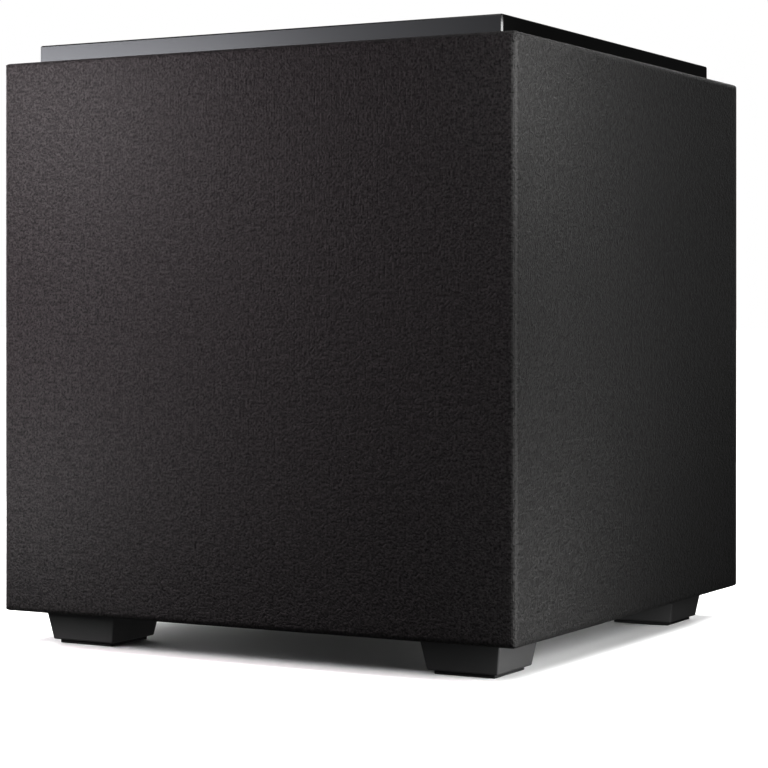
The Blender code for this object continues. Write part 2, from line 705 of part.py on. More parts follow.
def smooth_route(points, spacing):
    """Points about evenly spaced along a smooth curve through a few chosen points."""
    points = [Vector(point) for point in points]
    ends = [2 * points[0] - points[1]] + points + [2 * points[-1] - points[-2]]
    route = []
    for before, start, end, after in zip(ends, ends[1:], ends[2:], ends[3:]):
        steps = max(1, round((end - start).length / spacing))
        for step in range(steps):
            t = step / steps
            bend = 2 * start + (end - before) * t
            bend += (2 * before - 5 * start + 4 * end - after) * t**2
            bend += (3 * start - before - 3 * end + after) * t**3
            route.append(bend / 2)
    return route + [points[-1]]


def build_driver_lead():
    """The lead inside the cabinet, from the amplifier's chassis to the driver's terminal."""
    diameter = 0.006
    start = (-0.060, CHASSIS_FRONT_Y - 2 * GAP, 0.112)
    chosen = [start, (-0.060, 0.100, 0.108), (-0.062, 0.060, 0.086), (-0.066, 0.010, 0.076)]
    chosen += [(-0.070, -0.035, 0.086), (-0.076, -0.066, 0.108), (-0.0815, -0.082, 0.124)]
    curve = bpy.data.curves.new("driver_lead", "CURVE")
    curve.dimensions = "3D"
    curve.bevel_depth = diameter / 2
    curve.bevel_resolution = 2
    curve.use_fill_caps = True
    route = smooth_route(chosen, 2.5 * diameter)
    spline = curve.splines.new("POLY")
    spline.points.add(len(route) - 1)
    for point, place in zip(spline.points, route):
        point.co = (*place, 1)
    curve.materials.append(material("black_rubber"))
    lead = bpy.data.objects.new("driver_lead", curve)
    bpy.context.collection.objects.link(lead)


def build_radiator(side, axis):
    """A passive radiator: frame, surround, dished diaphragm, spider and tuning mass."""
    outline = frame_outline(SHELF_INNER_R, RADIATOR_FOOT_Z)
    frame = add_object(f"{side}_radiator_frame", turned_mesh(outline), "cast_black", parent=axis)
    above_foot = (0.084, 0.170, -0.048, -0.013)
    cut_windows(frame, axis, [above_foot])
    build_surround(f"{side}_radiator_surround", axis)
    build_spider(f"{side}_radiator_spider", axis, RADIATOR_FOOT_Z + FOOT_THICK + GLUE_ROOM + GAP)

    neck_inner_r, floor_z = 0.0300, RADIATOR_DISH_Z - PAPER
    dish = [(CONE_RIM_R, FLANGE_FRONT), (CONE_RIM_R, FLANGE_FRONT - PAPER)]
    dish += [(CONE_EDGE_R + PAPER / 2, FLANGE_FRONT - PAPER), (FORMER_OUTER_R, floor_z)]
    dish += [(FORMER_OUTER_R, RADIATOR_NECK_END), (neck_inner_r, RADIATOR_NECK_END)]
    dish += [(neck_inner_r, floor_z), (0, floor_z), (0, RADIATOR_DISH_Z)]
    dish += [(neck_inner_r, RADIATOR_DISH_Z), (CONE_EDGE_R, FLANGE_FRONT)]
    add_object(f"{side}_radiator_diaphragm", turned_mesh(dish), "black_paper", parent=axis)

    front, mass_r, mass_thick = RADIATOR_NECK_END - GAP, 0.036, 0.010
    mass = [(0, front), (mass_r, front), (mass_r, front - mass_thick), (0, front - mass_thick)]
    add_object(f"{side}_radiator_mass", turned_mesh(mass), "zinc_steel", parent=axis)


# The amplifier. Its controls are built with +Z out of the back of the plate.


def build_amp_plate():
    """The amplifier's outside plate, cut out for each control."""
    plate_axis = add_facing("amp_plate_axis", (0, PLATE_FACE_Y, MIDDLE_Z), FACING_REAR)
    corner = 0.006
    outline = rounded_rectangle(PLATE_HALF_W, PLATE_HALF_H, corner)
    plate = add_object("amp_plate", prism_mesh(outline, -PLATE, 0), "black_aluminium", parent=plate_axis)
    cutters = bmesh.new()
    for x, z, radius in control_holes():
        hole = turned_mesh(tube_outline(0, radius, -2 * PLATE, PLATE), SMALL_SEGMENTS)
        bmesh.ops.translate(hole, verts=hole.verts, vec=(-x, z - MIDDLE_Z, 0))
        add_to_mesh(cutters, hole)
    for x, z, half_x, half_z in control_slots():
        low = (-x - half_x, z - MIDDLE_Z - half_z, -2 * PLATE)
        slot = box_mesh(low, (-x + half_x, z - MIDDLE_Z + half_z, PLATE))
        add_to_mesh(cutters, slot)
    apply_cutter(plate, cutters, parent=plate_axis)


def control_holes():
    """Round holes in the plate: x, z and radius."""
    for x in (LEVEL_X, CROSSOVER_X):
        yield x, CONTROL_ROW_Z, SHAFT_R + SHAFT_ROOM
    for x in JACK_X:
        yield x, JACK_ROW_Z, JACK_BODY_R + GAP
    yield LAMP_X, JACK_ROW_Z, LAMP_R + GAP


def control_slots():
    """Rectangular cut-outs in the plate: x, z, half width and half height."""
    for x in (PHASE_X, MODE_X):
        yield x, CONTROL_ROW_Z, (LEVER_STEM[0] + LEVER_TRAVEL) / 2 + 2 * GAP, LEVER_STEM[1] / 2 + 2 * GAP
    yield INLET_X, POWER_ROW_Z, INLET_BODY[0] / 2 + GAP, INLET_BODY[1] / 2 + GAP
    yield ROCKER_X, POWER_ROW_Z, SWITCH_BODY[0] / 2 + GAP, SWITCH_BODY[1] / 2 + GAP


def build_amp_chassis():
    """A steel tray behind the plate that seals the electronics from the cabinet's air."""
    back = PLATE_BACK_Y - GAP
    low = (-CHASSIS_HALF_W, CHASSIS_FRONT_Y, MIDDLE_Z - CHASSIS_HALF_H)
    high = (CHASSIS_HALF_W, back, MIDDLE_Z + CHASSIS_HALF_H)
    bm = box_mesh(low, high)
    raise_face(bm, (0, 1, 0), SHEET_METAL, CHASSIS_FRONT_Y + SHEET_METAL - back)
    add_object("amp_chassis", bm, "zinc_steel")


def build_amp_board():
    """The amplifier's board with its two reservoir capacitors and the output devices' clamp bar."""
    front, thick, half_w = 0.130, 0.0016, 0.080
    low_z, high_z = 0.192, 0.322
    bm = box_mesh((-half_w, front, low_z), (half_w, front + thick, high_z))
    board = add_object("amp_board", bm, "circuit_board")
    axis = add_facing("amp_board_axis", (0, front + thick, (low_z + high_z) / 2), FACING_REAR)
    parts = bmesh.new()
    can_r, can_height, can_y = 0.011, 0.025, -0.030
    for can_x in (-0.030, 0.002):
        can = turned_mesh(tube_outline(0, can_r, -thick / 2, can_height), SMALL_SEGMENTS)
        bmesh.ops.translate(can, verts=can.verts, vec=(can_x, can_y, 0))
        add_to_mesh(parts, can)
    bar_half_w, bar_low, bar_high, bar_height = 0.060, 0.018, 0.024, 0.022
    bar = box_mesh((-bar_half_w, bar_low, -thick / 2), (bar_half_w, bar_high, bar_height))
    add_to_mesh(parts, bar)
    apply_cutter(board, parts, "UNION", parent=axis)


def build_power_transformer():
    """The toroid, bolted to the front wall of the chassis."""
    centre_x, centre_z = -0.038, 0.138
    seat_y = CHASSIS_FRONT_Y + SHEET_METAL + GAP
    axis = add_facing("transformer_axis", (centre_x, seat_y, centre_z), FACING_REAR)
    inner_r, outer_r, height, corner = 0.014, 0.045, 0.036, 0.006
    outline = []
    half_r, half_z = (outer_r - inner_r) / 2, height / 2
    for x, z in rounded_rectangle(half_r, half_z, corner, segments=1):
        outline.append((inner_r + half_r + x, half_z + z))
    add_object("power_transformer", turned_mesh(outline), "copper_wire", parent=axis)


def build_heat_sink():
    """A finned extrusion on the outside of the plate."""
    half_w, low_z, high_z = 0.084, 0.250, 0.336
    base, fin_height, fins, fin_thick = 0.0022, 0.0088, 21, 0.0018
    axis = add_facing("heat_sink_axis", (0, PLATE_FACE_Y + GAP, 0), FACING_REAR)
    pitch = (2 * half_w - fin_thick) / (fins - 1)
    outline = [(half_w, 0), (-half_w, 0)]
    for index in range(fins):
        left = -half_w + index * pitch
        right = left + fin_thick
        if index > 0:
            outline.append((left, base))
        outline += [(left, fin_height), (right, fin_height)]
        if index < fins - 1:
            outline.append((right, base))
    bm = prism_mesh(outline, -high_z, -low_z)
    bmesh.ops.rotate(bm, verts=bm.verts, cent=(0, 0, 0), matrix=Matrix.Rotation(math.pi / 2, 3, "X"))
    add_object("heat_sink", bm, "black_aluminium", parent=axis)


def build_knob(name, x):
    """A turned knob with a pointer groove, on a shaft that passes through the plate."""
    axis = add_facing(f"{name}_axis", (x, PLATE_FACE_Y, CONTROL_ROW_Z), FACING_REAR)
    foot, face, radius, edge, draft, shaft_end = 0.0006, 0.0088, 0.0098, 0.0008, 0.0008, -0.015
    face_r = radius - draft
    outline = [(0, face), (face_r - edge, face), (face_r, face - edge)]
    outline += [(radius, foot), (SHAFT_R, foot), (SHAFT_R, shaft_end), (0, shaft_end)]
    knob = add_object(name, turned_mesh(outline, KNOB_SEGMENTS), "satin_black_plastic", parent=axis)
    half_groove, groove_start, groove_depth = 0.0006, 0.0035, 0.0008
    groove_low = (-half_groove, groove_start, face - groove_depth)
    apply_cutter(knob, box_mesh(groove_low, (half_groove, 2 * radius, 2 * face)), parent=axis)


def build_lever(name, x):
    """A slide switch's lever: a stem through the plate and the slider behind it."""
    axis = add_facing(f"{name}_axis", (x - LEVER_TRAVEL / 2, PLATE_FACE_Y, CONTROL_ROW_Z), FACING_REAR)
    half_x, half_y, thick = 0.006, 0.004, 0.0011
    slider_top = -PLATE - 0.0004
    slider = box_mesh((-half_x, -half_y, slider_top - thick), (half_x, half_y, slider_top))
    lever = add_object(name, slider, "satin_black_plastic", parent=axis)
    stem_x, stem_y, stem_height = LEVER_STEM[0] / 2, LEVER_STEM[1] / 2, 0.0045
    stem = box_mesh((-stem_x, -stem_y, slider_top - thick / 2), (stem_x, stem_y, stem_height))
    apply_cutter(lever, stem, "UNION", parent=axis)


def build_jack(name, x):
    """A phono jack: flange, plated barrel and centre hole."""
    axis = add_facing(f"{name}_axis", (x, PLATE_FACE_Y, JACK_ROW_Z), FACING_REAR)
    bore_r, barrel_r, flange_r = 0.0016, 0.00415, 0.0075
    barrel_end, flange_face, bore_floor = 0.0086, 0.0018, -0.001
    outline = [(bore_r, barrel_end), (barrel_r, barrel_end), (barrel_r, flange_face)]
    outline += [(flange_r, flange_face), (flange_r, GAP), (JACK_BODY_R, GAP), (JACK_BODY_R, -JACK_DEPTH)]
    outline += [(0, -JACK_DEPTH), (0, bore_floor), (bore_r, bore_floor)]
    add_object(name, turned_mesh(outline, SMALL_SEGMENTS), "gold_plate", parent=axis)


def build_status_lamp():
    """A domed lens with a rim, pushed through the plate from outside."""
    axis = add_facing("status_lamp_axis", (LAMP_X, PLATE_FACE_Y, JACK_ROW_Z), FACING_REAR)
    dome_r, rim_r, rim_face, dome_rise, lens_end, steps = 0.0022, 0.0032, 0.0008, 0.0018, -0.006, 3
    outline = []
    for step in range(steps + 1):
        angle = math.pi / 2 * step / steps
        outline.append((dome_r * math.sin(angle), rim_face + dome_rise * math.cos(angle)))
    outline += [(rim_r, rim_face), (rim_r, GAP), (LAMP_R, GAP), (LAMP_R, lens_end), (0, lens_end)]
    add_object("status_lamp", turned_mesh(outline, SMALL_SEGMENTS), "status_lens", parent=axis)


def inset_block(flange, body, face_z):
    """A flange with a narrower body behind it, in one mesh."""
    flange_x, flange_y = flange[0] / 2, flange[1] / 2
    body_x, body_y = body[0] / 2, body[1] / 2
    bm = box_mesh((-flange_x, -flange_y, GAP), (flange_x, flange_y, face_z))
    bm.normal_update()
    under = min(bm.faces, key=lambda face: face.normal.z)
    raised = bmesh.ops.extrude_face_region(bm, geom=[under])
    verts = [item for item in raised["geom"] if isinstance(item, bmesh.types.BMVert)]
    for vert in verts:
        vert.co.x = math.copysign(body_x, vert.co.x)
        vert.co.y = math.copysign(body_y, vert.co.y)
    bmesh.ops.delete(bm, geom=[under], context="FACES")
    face = next(item for item in raised["geom"] if isinstance(item, bmesh.types.BMFace))
    deeper = bmesh.ops.extrude_face_region(bm, geom=[face])
    verts = [item for item in deeper["geom"] if isinstance(item, bmesh.types.BMVert)]
    bmesh.ops.translate(bm, verts=verts, vec=(0, 0, -body[2]))
    bmesh.ops.delete(bm, geom=[face], context="FACES")
    return bm


def build_mains_inlet():
    """A three-pin appliance inlet with a slot below it for the fuse drawer."""
    axis = add_facing("mains_inlet_axis", (INLET_X, PLATE_FACE_Y, POWER_ROW_Z), FACING_REAR)
    face = INLET_FLANGE[2] + GAP
    inlet = add_object(
        "mains_inlet", inset_block(INLET_FLANGE, INLET_BODY, face), "satin_black_plastic", parent=axis
    )
    half_x, half_y, socket_floor = SOCKET[0] / 2, SOCKET[1] / 2, face - SOCKET[2]
    chamfer, reach = 0.0045, 0.005
    mouth = [(-half_x, -half_y), (half_x, -half_y), (half_x, half_y - chamfer), (half_x - chamfer, half_y)]
    mouth += [(-half_x + chamfer, half_y), (-half_x, half_y - chamfer)]
    mouth = [(x, y + SOCKET_Y) for x, y in mouth]
    apply_cutter(inlet, prism_mesh(mouth, socket_floor, face + reach), parent=axis)
    slot_x, slot_y, slot_depth = DRAWER_SLOT[0] / 2, DRAWER_SLOT[1] / 2, DRAWER_SLOT[2]
    slot_low = (-slot_x, DRAWER_Y - slot_y, face - slot_depth)
    slot = box_mesh(slot_low, (slot_x, DRAWER_Y + slot_y, face + reach))
    apply_cutter(inlet, slot, parent=axis)
    pins = bmesh.new()
    root = SHEET_METAL / 2
    for x, y in PIN_PLACES:
        low = (x - PIN[0] / 2, y + SOCKET_Y - PIN[1] / 2, socket_floor - root)
        high = (x + PIN[0] / 2, y + SOCKET_Y + PIN[1] / 2, socket_floor + PIN[2])
        add_to_mesh(pins, box_mesh(low, high))
    apply_cutter(inlet, pins, "UNION", parent=axis)


def build_fuse_drawer():
    """The drawer that carries the fuse, with a lip to pull it by."""
    axis = add_facing("fuse_drawer_axis", (INLET_X, PLATE_FACE_Y, POWER_ROW_Z), FACING_REAR)
    half_x, half_y = DRAWER_SLOT[0] / 2 - GAP, DRAWER_SLOT[1] / 2 - GAP
    face = INLET_FLANGE[2] + GAP
    low_y, high_y = DRAWER_Y - half_y, DRAWER_Y + half_y
    stands_out = 0.0008
    low = (-half_x, low_y, face - DRAWER_SLOT[2] + 2 * GAP)
    high = (half_x, high_y, face + stands_out)
    drawer = add_object("fuse_drawer", box_mesh(low, high), "satin_black_plastic", parent=axis)
    lip_y, lip_thick, lip_rise = low_y + stands_out, 0.0018, 0.0026
    lip = box_mesh((-half_x / 2, lip_y, face), (half_x / 2, lip_y + lip_thick, face + lip_rise))
    apply_cutter(drawer, lip, "UNION", parent=axis)
    wall, floor, front = 0.002, 0.0015, 0.003
    fuse_bay = box_mesh(
        (-half_x + wall, low_y - floor, face - DRAWER_SLOT[2] + wall),
        (half_x - wall, high_y - floor, face - front),
    )
    apply_cutter(drawer, fuse_bay, parent=axis)


def build_power_switch():
    """The mains rocker and its housing. The rocker rests tilted, in its off position."""
    axis = add_facing("rocker_housing_axis", (ROCKER_X, PLATE_FACE_Y, POWER_ROW_Z), FACING_REAR)
    face = SWITCH_FLANGE[2] + GAP
    housing = add_object(
        "rocker_housing", inset_block(SWITCH_FLANGE, SWITCH_BODY, face), "satin_black_plastic", parent=axis
    )
    well_x, well_y, well_depth, reach = ROCKER_HALF[0] + GAP, 0.0087, 0.011, 0.005
    well = box_mesh((-well_x, -well_y, face - well_depth), (well_x, well_y, face + reach))
    apply_cutter(housing, well, parent=axis)

    pivot_place = (ROCKER_X, PLATE_FACE_Y + ROCKER_PIVOT, POWER_ROW_Z)
    pivot = add_facing("power_rocker_axis", pivot_place, FACING_REAR)
    end, valley, tip = ROCKER_HALF[1], 0.0030, 0.0044
    shoulder, shoulder_depth, heel, heel_depth = 0.0068, 0.0020, 0.0024, 0.0060
    side = [(end, tip), (0, valley), (-end, tip), (-shoulder, -shoulder_depth), (-heel, -heel_depth)]
    side += [(heel, -heel_depth), (shoulder, -shoulder_depth)]
    bm = prism_mesh(side, -ROCKER_HALF[0], ROCKER_HALF[0])
    turn = Matrix(((0, 0, 1), (1, 0, 0), (0, 1, 0)))
    bmesh.ops.transform(bm, matrix=turn.to_4x4(), verts=bm.verts)
    bmesh.ops.rotate(bm, verts=bm.verts, cent=(0, 0, 0), matrix=Matrix.Rotation(ROCKER_TILT, 3, "X"))
    add_object("power_rocker", bm, "satin_black_plastic", parent=pivot)


def main():
    clear_scene()
    driver_axis = add_facing("driver_axis", (0, BAFFLE_FACE_Y, MIDDLE_Z), FACING_FRONT)
    right_axis = add_facing("right_radiator_axis", (BOX_HALF_W, RADIATOR_Y, MIDDLE_Z), FACING_RIGHT)
    left_axis = add_facing("left_radiator_axis", (-BOX_HALF_W, RADIATOR_Y, MIDDLE_Z), FACING_LEFT)

    build_top_panel()
    build_bottom_panel()
    build_front_baffle(driver_axis)
    build_rear_panel()
    build_centre_brace()
    build_front_grille_frame(driver_axis)
    for side, sign, axis in (("left", -1, left_axis), ("right", 1, right_axis)):
        build_side_panel(side, sign, axis)
        build_side_grille_frame(side, sign, axis)
        build_radiator(side, axis)
    build_fabric_sleeve()
    build_rear_trim_frame()
    build_top_cap()
    build_feet()

    build_driver_basket(driver_axis)
    build_driver_gasket(driver_axis)
    build_surround("driver_surround", driver_axis)
    build_driver_cone(driver_axis)
    build_driver_dust_cap(driver_axis)
    build_spider("driver_spider", driver_axis, SHELF_FRONT + GLUE_ROOM + GAP)
    build_coil_and_former(driver_axis)
    build_motor(driver_axis)
    build_driver_terminal(driver_axis)
    build_driver_lead()

    build_amp_plate()
    build_amp_chassis()
    build_amp_board()
    build_power_transformer()
    build_heat_sink()
    for name, x in (("level_knob", LEVEL_X), ("crossover_knob", CROSSOVER_X)):
        build_knob(name, x)
    for name, x in (("phase_lever", PHASE_X), ("mode_lever", MODE_X)):
        build_lever(name, x)
    for name, x in zip(("line_in_left", "line_in_right"), JACK_X):
        build_jack(name, x)
    build_status_lamp()
    build_mains_inlet()
    build_fuse_drawer()
    build_power_switch()


main()
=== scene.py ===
import json
import math

import bmesh
import bpy
from mathutils import Matrix, Vector


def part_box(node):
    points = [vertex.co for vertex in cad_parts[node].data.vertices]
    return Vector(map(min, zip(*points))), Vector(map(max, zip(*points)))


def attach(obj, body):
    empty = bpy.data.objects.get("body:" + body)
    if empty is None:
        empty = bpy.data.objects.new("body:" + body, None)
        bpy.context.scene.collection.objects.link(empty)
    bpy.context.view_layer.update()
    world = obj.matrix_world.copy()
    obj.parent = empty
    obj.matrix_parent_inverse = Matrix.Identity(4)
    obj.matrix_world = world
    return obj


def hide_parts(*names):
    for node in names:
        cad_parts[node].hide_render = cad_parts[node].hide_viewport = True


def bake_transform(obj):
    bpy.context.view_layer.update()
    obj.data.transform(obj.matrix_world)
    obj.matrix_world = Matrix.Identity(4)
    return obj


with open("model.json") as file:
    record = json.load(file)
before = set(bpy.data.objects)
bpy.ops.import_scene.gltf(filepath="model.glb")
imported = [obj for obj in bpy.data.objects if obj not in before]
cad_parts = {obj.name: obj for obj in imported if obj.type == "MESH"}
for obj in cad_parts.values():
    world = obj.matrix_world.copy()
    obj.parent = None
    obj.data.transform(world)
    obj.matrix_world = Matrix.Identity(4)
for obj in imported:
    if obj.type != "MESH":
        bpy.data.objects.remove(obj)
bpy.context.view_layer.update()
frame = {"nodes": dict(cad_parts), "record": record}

MM = 0.001

# The cabinet's faces, from the cloth's box in the frame.
CLOTH_LOW, CLOTH_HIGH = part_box("fabric_sleeve")
HALF_W = CLOTH_HIGH.x
FRONT_Y, BACK_Y = CLOTH_LOW.y, CLOTH_HIGH.y
BASE_Z, TOP_Z = CLOTH_LOW.z, CLOTH_HIGH.z
HEIGHT = TOP_Z - BASE_Z
PLATE_LOW, PLATE_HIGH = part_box("amp_plate")
PLATE_FACE_Y = PLATE_HIGH.y
MIDDLE = Vector((0, 0, (BASE_Z + TOP_Z) / 2))
OUT_BACK = Vector((0, 1, 0))

# The cloth: its edge rounding, thickness, folds, the steps of its mesh, and the pitch of its yarns.
EDGE_RADIUS = 4 * MM
EDGE_STEPS = 6
CLOTH_THICK = 0.6 * MM
FOLD_TOP, FOLD_BASE, FOLD_REAR = 25.8 * MM, 13.8 * MM, 11.8 * MM
GRID, FOLD_GRID = 6 * MM, 2 * MM
YARN_ACROSS, YARN_UP = 1.22 * MM, 0.71 * MM

# The dye: how far it drifts along a yarn, in yarns, and how far apart two yarns' shades are drawn.
DYE_DRIFT = 4.0
YARN_DYE_STEP = 7.31

# Each loudspeaker unit: the name its nodes start with, its moving body, and the way it faces.
UNITS = (
    ("driver", "cone_assembly", Vector((0, -1, 0))),
    ("left_radiator", "left_radiator_cone", Vector((-1, 0, 0))),
    ("right_radiator", "right_radiator_cone", Vector((1, 0, 0))),
)

# The soft rings of a unit, by their radii: the surround's roll and lips, and the spider's corrugation.
ROLL_INNER, ROLL_OUTER, ROLL_HEIGHT = 104 * MM, 130 * MM, 11 * MM
LIP_INNER, LIP_OUTER = 97 * MM, 140 * MM
RUBBER, LIP, LIP_TOP = 1.2 * MM, 1.0 * MM, -0.3 * MM
SPIDER_INNER, SPIDER_OUTER = 33.1 * MM, 79.5 * MM
SPIDER_FIRST, SPIDER_LAST = 36 * MM, 68.5 * MM

# The screws, by the radius and height of their heads.
UNIT_SCREW = (2.3 * MM, 1.2 * MM)
PLATE_SCREW = (3.2 * MM, 2.0 * MM)
TRIM_SCREW = (2.8 * MM, 1.2 * MM)

# The camera, fitted to the photograph's edges: its place in metres, heading, lens in mm and shift.
CAMERA_PLACE = (0.7925, -1.4353, 0.2209)
CAMERA_HEADING = math.radians(29)
CAMERA_LENS = 108.56
CAMERA_SHIFT = -0.0859

# The colours of the softboxes.
COOL = (0.92, 0.93, 1.0)
WARM = (1.0, 0.95, 0.97)
ROSY = (1.0, 0.76, 0.86)
WHITE = (1, 1, 1)


# Shader helpers.


class Finish:
    """A node material with one Principled shader, and short calls to build on it."""

    def __init__(self, name, color, roughness, metallic=0.0, **sockets):
        self.material = bpy.data.materials.new(name)
        self.material.use_nodes = True
        self.tree = self.material.node_tree
        self.main = self.tree.nodes["Principled BSDF"]
        self.main.inputs["Base Color"].default_value = (*color, 1)
        self.main.inputs["Roughness"].default_value = roughness
        self.main.inputs["Metallic"].default_value = metallic
        for socket, value in sockets.items():
            self.main.inputs[socket.replace("_", " ")].default_value = value
        self.place = self.node("ShaderNodeTexCoord").outputs["Object"]

    def node(self, kind, inputs=(), **settings):
        """Add a node. An input is linked when its value is a socket, and set otherwise."""
        made = self.tree.nodes.new(kind)
        for key, value in settings.items():
            setattr(made, key, value)
        for key, value in dict(inputs).items():
            if isinstance(value, bpy.types.NodeSocket):
                self.tree.links.new(value, made.inputs[key])
            else:
                made.inputs[key].default_value = value
        return made

    def math(self, operation, first, second=0.0):
        """The result of a Math node."""
        return self.node("ShaderNodeMath", {0: first, 1: second}, operation=operation).outputs[0]

    def between(self, factor, first, second):
        """A number that goes from first to second as factor goes from 0 to 1."""
        inputs = {"Value": factor, "To Min": first, "To Max": second}
        return self.node("ShaderNodeMapRange", inputs).outputs[0]

    def noise(self, scale, detail=3.0, at=None):
        """Noise from 0 to 1, in the object's own coordinates unless others are given."""
        inputs = {"Vector": at or self.place, "Scale": scale, "Detail": detail}
        return self.node("ShaderNodeTexNoise", inputs).outputs["Fac"]

    def stretched(self, *scale):
        """The object's own coordinates, scaled by a factor on each axis."""
        return self.node("ShaderNodeMapping", {"Vector": self.place, "Scale": scale}).outputs[0]

    def tint(self, factor, dark, light):
        """The base colour goes from dark to light with a factor."""
        # The colours of a Mix node are its inputs 6 and 7 and its output 2.
        made = self.node("ShaderNodeMix", {0: factor, 6: (*dark, 1), 7: (*light, 1)}, data_type="RGBA")
        self.tree.links.new(made.outputs[2], self.main.inputs["Base Color"])

    def gloss(self, factor, low, high):
        """The roughness goes from low to high with a factor."""
        self.tree.links.new(self.between(factor, low, high), self.main.inputs["Roughness"])

    def relief(self, height, distance, strength=1.0):
        """Small bumps in the shading, a distance deep."""
        inputs = {"Height": height, "Distance": distance, "Strength": strength}
        bump = self.node("ShaderNodeBump", inputs)
        self.tree.links.new(bump.outputs["Normal"], self.main.inputs["Normal"])


def grained(name, dark, light, roughness, grain, depth, metallic=0.0, cloud=18.0):
    """A finish with fine grain in its relief and gloss, and slow clouding in its colour."""
    made = Finish(name, light, roughness[0], metallic)
    fine = made.noise(grain)
    made.tint(made.noise(cloud), dark, light)
    made.gloss(fine, *roughness)
    made.relief(fine, depth, 0.6)
    return made.material


def grey(level, warmth=0.0):
    """A grey colour, with more red and less blue where it is warm."""
    return (level * (1 + warmth), level, level * (1 - warmth))


def cloth_finish():
    """Black plain weave: arched yarns that go over and under, unevenly dyed, with a little fuzz, painted
    shade in the hollows of the weave and a painted highlight along the upright edges.
    """
    made = Finish("grille_cloth", grey(0.012), 0.5, Sheen_Weight=0.02, Sheen_Roughness=0.4)
    made.main.inputs["Specular IOR Level"].default_value = 0.1
    place = made.node("ShaderNodeAttribute", attribute_name="cloth_place").outputs["Vector"]
    split = made.node("ShaderNodeSeparateXYZ", {0: place})
    across = made.math("DIVIDE", split.outputs[0], YARN_ACROSS)
    up = made.math("DIVIDE", split.outputs[1], YARN_UP)
    column, row = made.math("FLOOR", across), made.math("FLOOR", up)
    over = made.math("FLOORED_MODULO", made.math("ADD", column, row), 2)

    def arch(value):
        """1 along the middle of a yarn, 0 along its edges."""
        middle = made.math("SUBTRACT", made.math("FRACT", value), 0.5)
        return made.math("SUBTRACT", 1, made.math("MULTIPLY", made.math("MULTIPLY", middle, middle), 4))

    def yarn(side, along):
        """Height of a yarn that dives under its neighbours at the ends of a float."""
        return made.math("MULTIPLY", made.math("SQRT", side), made.between(along, 0.5, 1.0))

    def dye(index, along):
        """The shade of a yarn, which drifts along its length and has nothing to do with its neighbours'."""
        apart = made.math("MULTIPLY", index, YARN_DYE_STEP)
        at = made.node("ShaderNodeCombineXYZ", {0: apart, 1: along}).outputs[0]
        return made.noise(1.0, 1.0, at=at)

    arch_across, arch_up = arch(across), arch(up)
    height = made.between(over, yarn(arch_up, arch_across), yarn(arch_across, arch_up))
    across_dye = dye(row, made.math("DIVIDE", across, DYE_DRIFT))
    up_dye = dye(column, made.math("DIVIDE", up, DYE_DRIFT))
    tone = made.between(over, across_dye, up_dye)
    # The scale of a noise is about how many of its marks lie along a metre.
    fuzz, cloud = made.noise(2600.0, 2.0, at=place), made.noise(9.0, 3.0, at=place)
    fleck, slub = made.noise(620.0, 1.0, at=place), made.noise(230.0, 2.0, at=place)
    # Painted highlight: the colour grows up to elevenfold lighter on the crowns of the upright edges,
    # standing in for the light that they catch.
    edge_highlight = made.node("ShaderNodeAttribute", attribute_name="painted_edge_highlight").outputs["Fac"]
    # Painted shade: the yarns are darker where they dive under their neighbours, in the hollows of the
    # weave.
    shade = made.between(height, 0.2, 0.7)
    factors = [(tone, 0.3, 1.7), (fuzz, 0.7, 1.3), (fleck, -1.4, 3.4), (slub, -0.1, 2.1)]
    factors += [(cloud, 0.85, 1.15), (edge_highlight, 1.0, 11.0)]
    for factor, low, high in factors:
        shade = made.math("MULTIPLY", shade, made.between(factor, low, high))
    made.tint(made.math("MAXIMUM", shade, 0.0), grey(0.002), grey(0.028, 0.02))
    made.gloss(fleck, 0.3, 0.7)
    lumps = made.math("ADD", made.math("MULTIPLY", fleck, 5), made.math("MULTIPLY", slub, 4))
    made.relief(made.math("ADD", height, lumps), 0.18 * MM, 0.8)
    return made.material


def lacquer_finish():
    """Polished black lacquer with a faint ripple, and dust in the polish."""
    made = Finish("black_gloss", grey(0.0035), 0.3, Coat_Weight=0.3, Coat_Roughness=0.16)
    made.main.inputs["Specular IOR Level"].default_value = 0.3
    made.tint(made.noise(30.0), grey(0.0028), grey(0.0042))
    made.gloss(made.noise(900.0, 2.0), 0.26, 0.34)
    made.relief(made.noise(60.0, 2.0), 0.05 * MM, 0.12)
    return made.material


def paper_finish():
    """Pressed pulp: short fibres that lie every way."""
    made = Finish("pulp", grey(0.016), 0.8)
    fibres = made.noise(420.0, 6.0, at=made.stretched(1.0, 1.0, 3.5))
    made.tint(fibres, grey(0.009), grey(0.024))
    made.gloss(fibres, 0.7, 0.9)
    made.relief(fibres, 0.12 * MM, 0.8)
    return made.material


def wave(made, direction, pitch):
    """Even ridges across one axis, whose Wave node makes 20 of them in 2 pi units."""
    scale = math.tau / (20 * pitch)
    inputs = {"Vector": made.place, "Scale": scale}
    return made.node("ShaderNodeTexWave", inputs, bands_direction=direction).outputs["Fac"]


def spider_finish():
    """Resin-dipped woven cloth."""
    made = Finish("dipped_cloth", (0.30, 0.19, 0.07), 0.75)
    weave = made.math("MAXIMUM", wave(made, "Z", 0.8 * MM), wave(made, "DIAGONAL", 0.8 * MM))
    made.tint(weave, (0.16, 0.10, 0.035), (0.36, 0.24, 0.10))
    made.gloss(made.noise(60.0), 0.5, 0.85)
    made.relief(weave, 0.15 * MM)
    return made.material


def copper_finish():
    """Close turns of enamelled wire."""
    made = Finish("magnet_wire", (0.72, 0.30, 0.12), 0.3, 1.0)
    turns = wave(made, "Y", 0.45 * MM)
    made.tint(made.math("MULTIPLY", turns, made.noise(40.0)), (0.35, 0.11, 0.04), (0.80, 0.36, 0.16))
    made.gloss(turns, 0.45, 0.25)
    made.relief(turns, 0.1 * MM)
    return made.material


